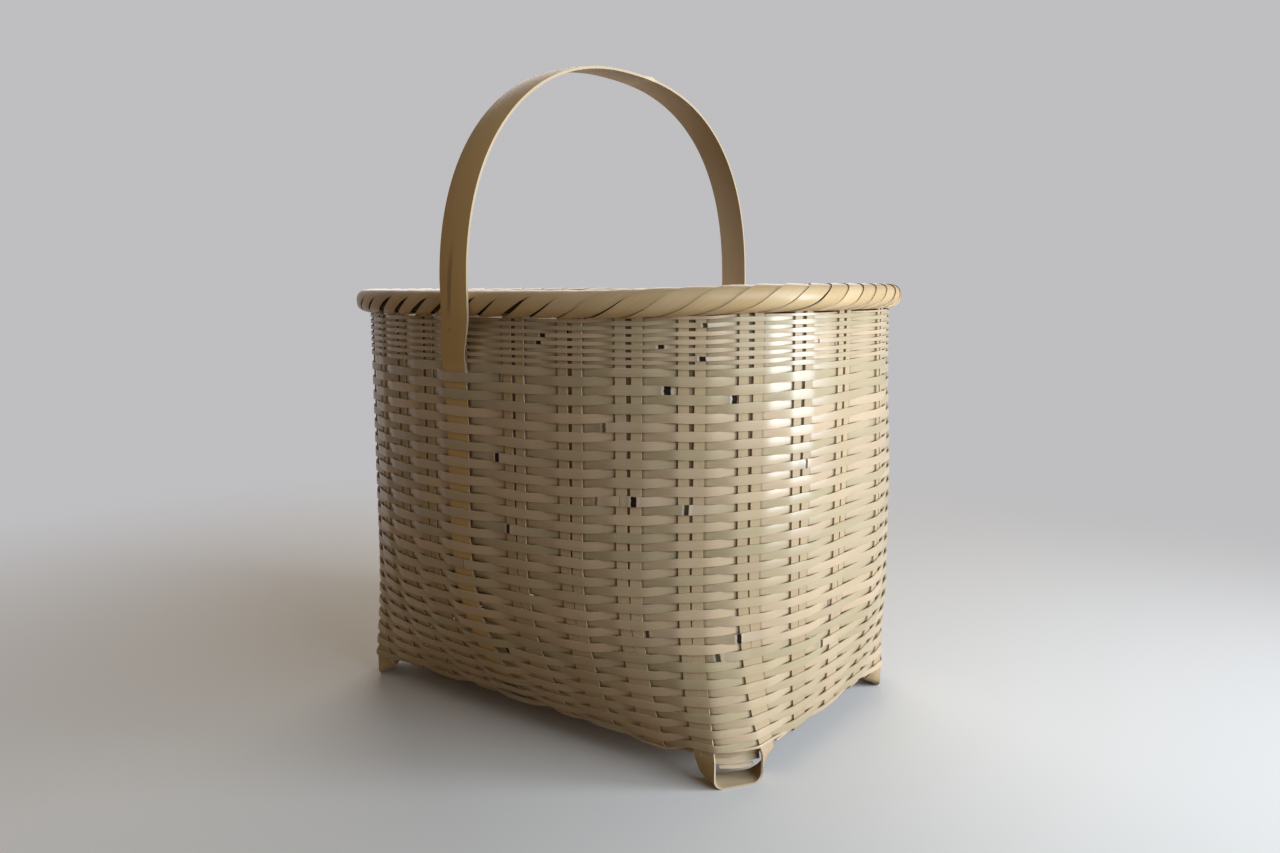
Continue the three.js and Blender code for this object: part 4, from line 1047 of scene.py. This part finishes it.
def layHoop(name, inside):
    bm = startStrips()
    made = bmesh.ops.create_grid(bm, x_segments=hoops["steps"], y_segments=hoops["sides"], size=0.5)["verts"]
    uv = bm.loops.layers.uv["strip"]
    spot = {v: (v.co.x + 0.5, v.co.y + 0.5) for v in made}
    for face in bm.faces:
        for loop in face.loops:
            u, w = spot[loop.vert]
            loop[uv].uv = (u * rimGirth * mm, w * hoops["grain"] * mm)
    tint = bm.verts.layers.float["tint"]
    for v, (u, w) in spot.items():
        distance = u * rimGirth
        p = rimPlace(distance, w * 2 * math.pi, -hoops["shrink"])
        p.z = mix(rim["centre"] + rimRise(distance), p.z, hoops["flatten"])
        line, level = ovalAt(distance), rimLevel(distance)
        offset = (p - Vector((line.x, line.y, p.z))).dot(level)
        kept = min(offset, -hoops["seat"]) if inside else max(offset, hoops["seat"])
        v.co = (p + level * (kept - offset)) * mm
        v[tint] = 0.5
    bmesh.ops.remove_doubles(bm, verts=bm.verts, dist=1e-6)
    bmesh.ops.dissolve_degenerate(bm, edges=bm.edges, dist=1e-6)
    finishPiece(name, bm, coreLooks, [name])


windRim()
layHoop("rim_hoop_outer", False)
layHoop("rim_hoop_inner", True)

# handle: one strip over the basket, its thinned ends pushed down into the weave along the middle stakes
handle = {"top": 331.0, "width": 16.8, "thick": 1.7, "crown": 0.5, "steps": 120, "fullness": (0.9, 0.83),
          "seat": 9.9, "shifts": (-2.1, -6.2), "shiftSpan": 248,
          "node": 18.0, "nodeRise": 0.8, "nodeReach": 4.0, "crest": 300,
          "legWidth": 14.8, "legEndWidth": 10.0, "legThick": 0.8, "legEnd": 30.0, "narrowFrom": 187,
          "tuck": 180.3, "tuckShift": -1.4, "shiftFrom": 165,
          "bends": ((182.0, 0.25), (184.5, 0.75)),  # heights at which it leaves the weave, and how far out
          "free": 186.5, "clear": 2.3, "shoulder": 211, "thickBy": 208, "widening": (180, 206),
          "lowStep": 6, "highStep": 12, "stepChange": 110, "neckSteps": 8, "neckCurve": (-0.25, 1.05)}


def handleShift(y):
    return mix(*handle["shifts"], clamp(y / handle["shiftSpan"] + 0.5))


def legPlaces():  # heights of a leg's ribs and how far they lie out of the wall
    held = stakes["thick"] / 2 + weave["play"] + handle["legThick"] / 2
    places = []
    z = handle["legEnd"]
    while z < handle["tuck"]:
        places.append((z, held))
        z += handle["lowStep"] if z < handle["stepChange"] else handle["highStep"]
    places.append((handle["tuck"], held))
    places += [(height, held + out) for height, out in handle["bends"]]
    places.append((handle["free"], handle["clear"]))
    for n in range(1, handle["neckSteps"] + 1):
        t = n / handle["neckSteps"]
        out = mix(handle["clear"], handle["seat"], smoothStep(*handle["neckCurve"], t))
        places.append((mix(handle["free"], handle["shoulder"], t), out))
    return [*places, (wall["rimTop"], handle["seat"])]


def handleLeg(i, turn):
    across = alongWall(i, wall["stakeTop"]) * turn
    made = []
    for z, offset in legPlaces():
        narrowing = clamp((handle["narrowFrom"] - z) / (handle["narrowFrom"] - handle["legEnd"]))
        width = mix(handle["legWidth"], handle["legEndWidth"], narrowing)
        at = wallPoint(i, z) + outOfWall(i, z) * offset
        at.x += handle["tuckShift"] * smoothStep(handle["shiftFrom"], handle["tuck"], z)
        at.x = mix(at.x, handleShift(at.y), smoothStep(handle["tuck"], handle["shoulder"], z))
        grow = smoothStep(handle["free"], handle["thickBy"], z)
        made.append({"at": at, "across": across, "thick": mix(handle["legThick"], handle["thick"], grow),
                     "half": mix(width, handle["width"], smoothStep(*handle["widening"], z)) / 2})
    return made


def handleSpine():
    span = wall["rimWidth"] / 2 + handle["seat"]
    rise = handle["top"] - handle["thick"] / 2 - wall["rimTop"]
    spine = handleLeg(3 * quarter, 1)
    for n in range(1, handle["steps"]):
        angle = math.pi * n / handle["steps"]
        c, s = math.cos(angle), math.sin(angle)
        power = handle["fullness"][0 if c > 0 else 1]
        y = -span * math.copysign(abs(c) ** power, c)
        p = Vector((handleShift(y), y, wall["rimTop"] + rise * s ** power))
        spine.append({"at": p, "across": Vector((1, 0, 0)), "half": handle["width"] / 2,
                      "thick": handle["thick"]})
    return [*spine, *reversed(handleLeg(quarter, -1))]


def buildHandle():
    spine = handleSpine()
    ribs = []
    for n, s in enumerate(spine):
        way = (spine[min(n + 1, len(spine) - 1)]["at"] - spine[max(n - 1, 0)]["at"]).normalized()
        out = s["across"].cross(way).normalized()
        crown = handle["crown"] * s["thick"] / handle["thick"]
        bulge = 0.0
        if s["at"].z > handle["crest"]:  # the joint near the top
            bulge = handle["nodeRise"] * math.exp(-((s["at"].y - handle["node"]) / handle["nodeReach"]) ** 2)
        face = out * (s["thick"] / 2 - crown)
        face += out * bulge
        side = s["across"] * s["half"]
        ribs.append({"low": s["at"] - side + face, "high": s["at"] + side + face, "out": out, "crown": crown,
                     "thick": s["thick"] - crown + bulge, "tint": 0.5 + bulge * 0.5, "shade": 0.5 + bulge})
    makePiece("handle", [(ribs, 8)], handleLooks, ["handle"])
    print("handle bent")


buildHandle()

# floor, light and camera, in metres and watts
studio = {"floorSize": 6.0, "floor": (0.80, 0.775, 0.74), "bounce": (0.29, 0.20, 0.11), "fade": (0.16, 0.75),
          "sky": (1.0, 0.73, 0.40), "skyStrength": 0.13, "backdrop": (0.52, 0.515, 0.53)}
lamps = {"key": {"colour": (0.72, 0.85, 1.0), "power": 7.8, "size": (0.9, 0.5),
                 "place": (0.82, 0.0, 0.42), "aim": (0, -0.05, 0.15)},
         "window": {"colour": (0.82, 0.90, 1.0), "power": 4.8, "size": (0.24, 0.3),
                    "place": (0.80, 0.34, 0.15), "aim": (0.1, 0, 0.15)},
         "fill": {"colour": (1.0, 0.74, 0.44), "power": 0.44, "size": (1.2, 1.2),
                  "place": (-0.9, -1.1, 0.7), "aim": (0, 0, 0.12)},
         "back": {"colour": (1.0, 0.97, 0.93), "power": 8.0, "size": (1.2, 0.9),
                  "place": (-0.75, 0.95, 0.75), "aim": (0, 0, 0.1)}}
eye = {"lens": 28.125, "sensor": 36, "nearest": 0.01,
       "place": (0.3282, -0.4371, 0.2200), "heading": (-0.589, 0.808), "tilt": 8.05}


def soften(wire, place, colour):  # a floor that is nearly plain
    cloud = wire.node("ShaderNodeTexNoise", {}, {"Vector": place, "Scale": 3.0, "Detail": 2.0})
    return (cloud * 0.08).blend(colour, tuple(c * 0.9 for c in colour))


def seenStraight(wire):  # rays that show the pale background: camera, glossy and see-through ones
    path = wire.node("ShaderNodeLightPath", {}, {}).socket.node
    kinds = ("Camera", "Glossy", "Transmission")
    rays = [Wire(wire.tree, path.outputs["Is %s Ray" % kind]) for kind in kinds]
    return rays[0] + rays[1] + rays[2]


def floorLook():  # pale to the camera, calmer as a reflector, fading into the backdrop
    look = bpy.data.materials.new("paleFloor")
    look.use_nodes = True
    tree = look.node_tree
    wire = Wire(tree)
    shader = tree.nodes["Principled BSDF"]
    seen = seenStraight(wire)
    place = wire.node("ShaderNodeTexCoord", {}, {}, out=3)
    tone = seen.blend(studio["bounce"], soften(wire, place, studio["floor"]))
    tree.links.new(tone.socket, shader.inputs["Base Color"])
    shader.inputs["Roughness"].default_value = 0.85
    glow = wire.node("ShaderNodeEmission", {}, {"Color": (*studio["backdrop"], 1), "Strength": 1.0})
    away = wire.node("ShaderNodeVectorMath", {"operation": "LENGTH"}, {0: place}, out=1)
    share = seen * away.step(*studio["fade"])
    faded = wire.node("ShaderNodeMixShader", {}, {0: share, 1: Wire(tree, shader.outputs[0]), 2: glow})
    tree.links.new(faded.socket, tree.nodes["Material Output"].inputs[0])
    return look


def layFloor():
    bm = bmesh.new()
    bmesh.ops.create_grid(bm, x_segments=1, y_segments=1, size=studio["floorSize"])
    floor = addMesh("floor", bm, [floorLook()])


def turnTo(holder, way):
    holder.rotation_euler = way.to_track_quat("-Z", "Y").to_euler()


def lightStudio():
    world = bpy.data.worlds.new("studio")
    world.use_nodes = True
    dim = tuple(c * studio["skyStrength"] for c in studio["sky"])
    tone = seenStraight(Wire(world.node_tree)).blend(dim, studio["backdrop"])
    world.node_tree.links.new(tone.socket, world.node_tree.nodes["Background"].inputs["Color"])
    bpy.context.scene.world = world
    for name, kind in lamps.items():
        lamp = bpy.data.lights.new(name, "AREA")
        lamp.energy = kind["power"]
        lamp.color = kind["colour"]
        lamp.shape = "RECTANGLE"
        lamp.size, lamp.size_y = kind["size"]
        holder = addObject(name, lamp)
        holder.location = kind["place"]
        turnTo(holder, Vector(kind["aim"]) - holder.location)


def setCamera():
    camera = bpy.data.cameras.new("camera")
    camera.lens = eye["lens"]
    camera.sensor_width = eye["sensor"]
    camera.clip_start = eye["nearest"]
    holder = addObject("camera", camera)
    holder.location = eye["place"]
    tilt = math.radians(eye["tilt"])
    x, y = (part * math.cos(tilt) for part in eye["heading"])
    turnTo(holder, Vector((x, y, -math.sin(tilt))))
    bpy.context.scene.camera = holder


layFloor()
lightStudio()
setCamera()
bpy.context.scene.view_settings.view_transform = "Standard"
print("studio lit")
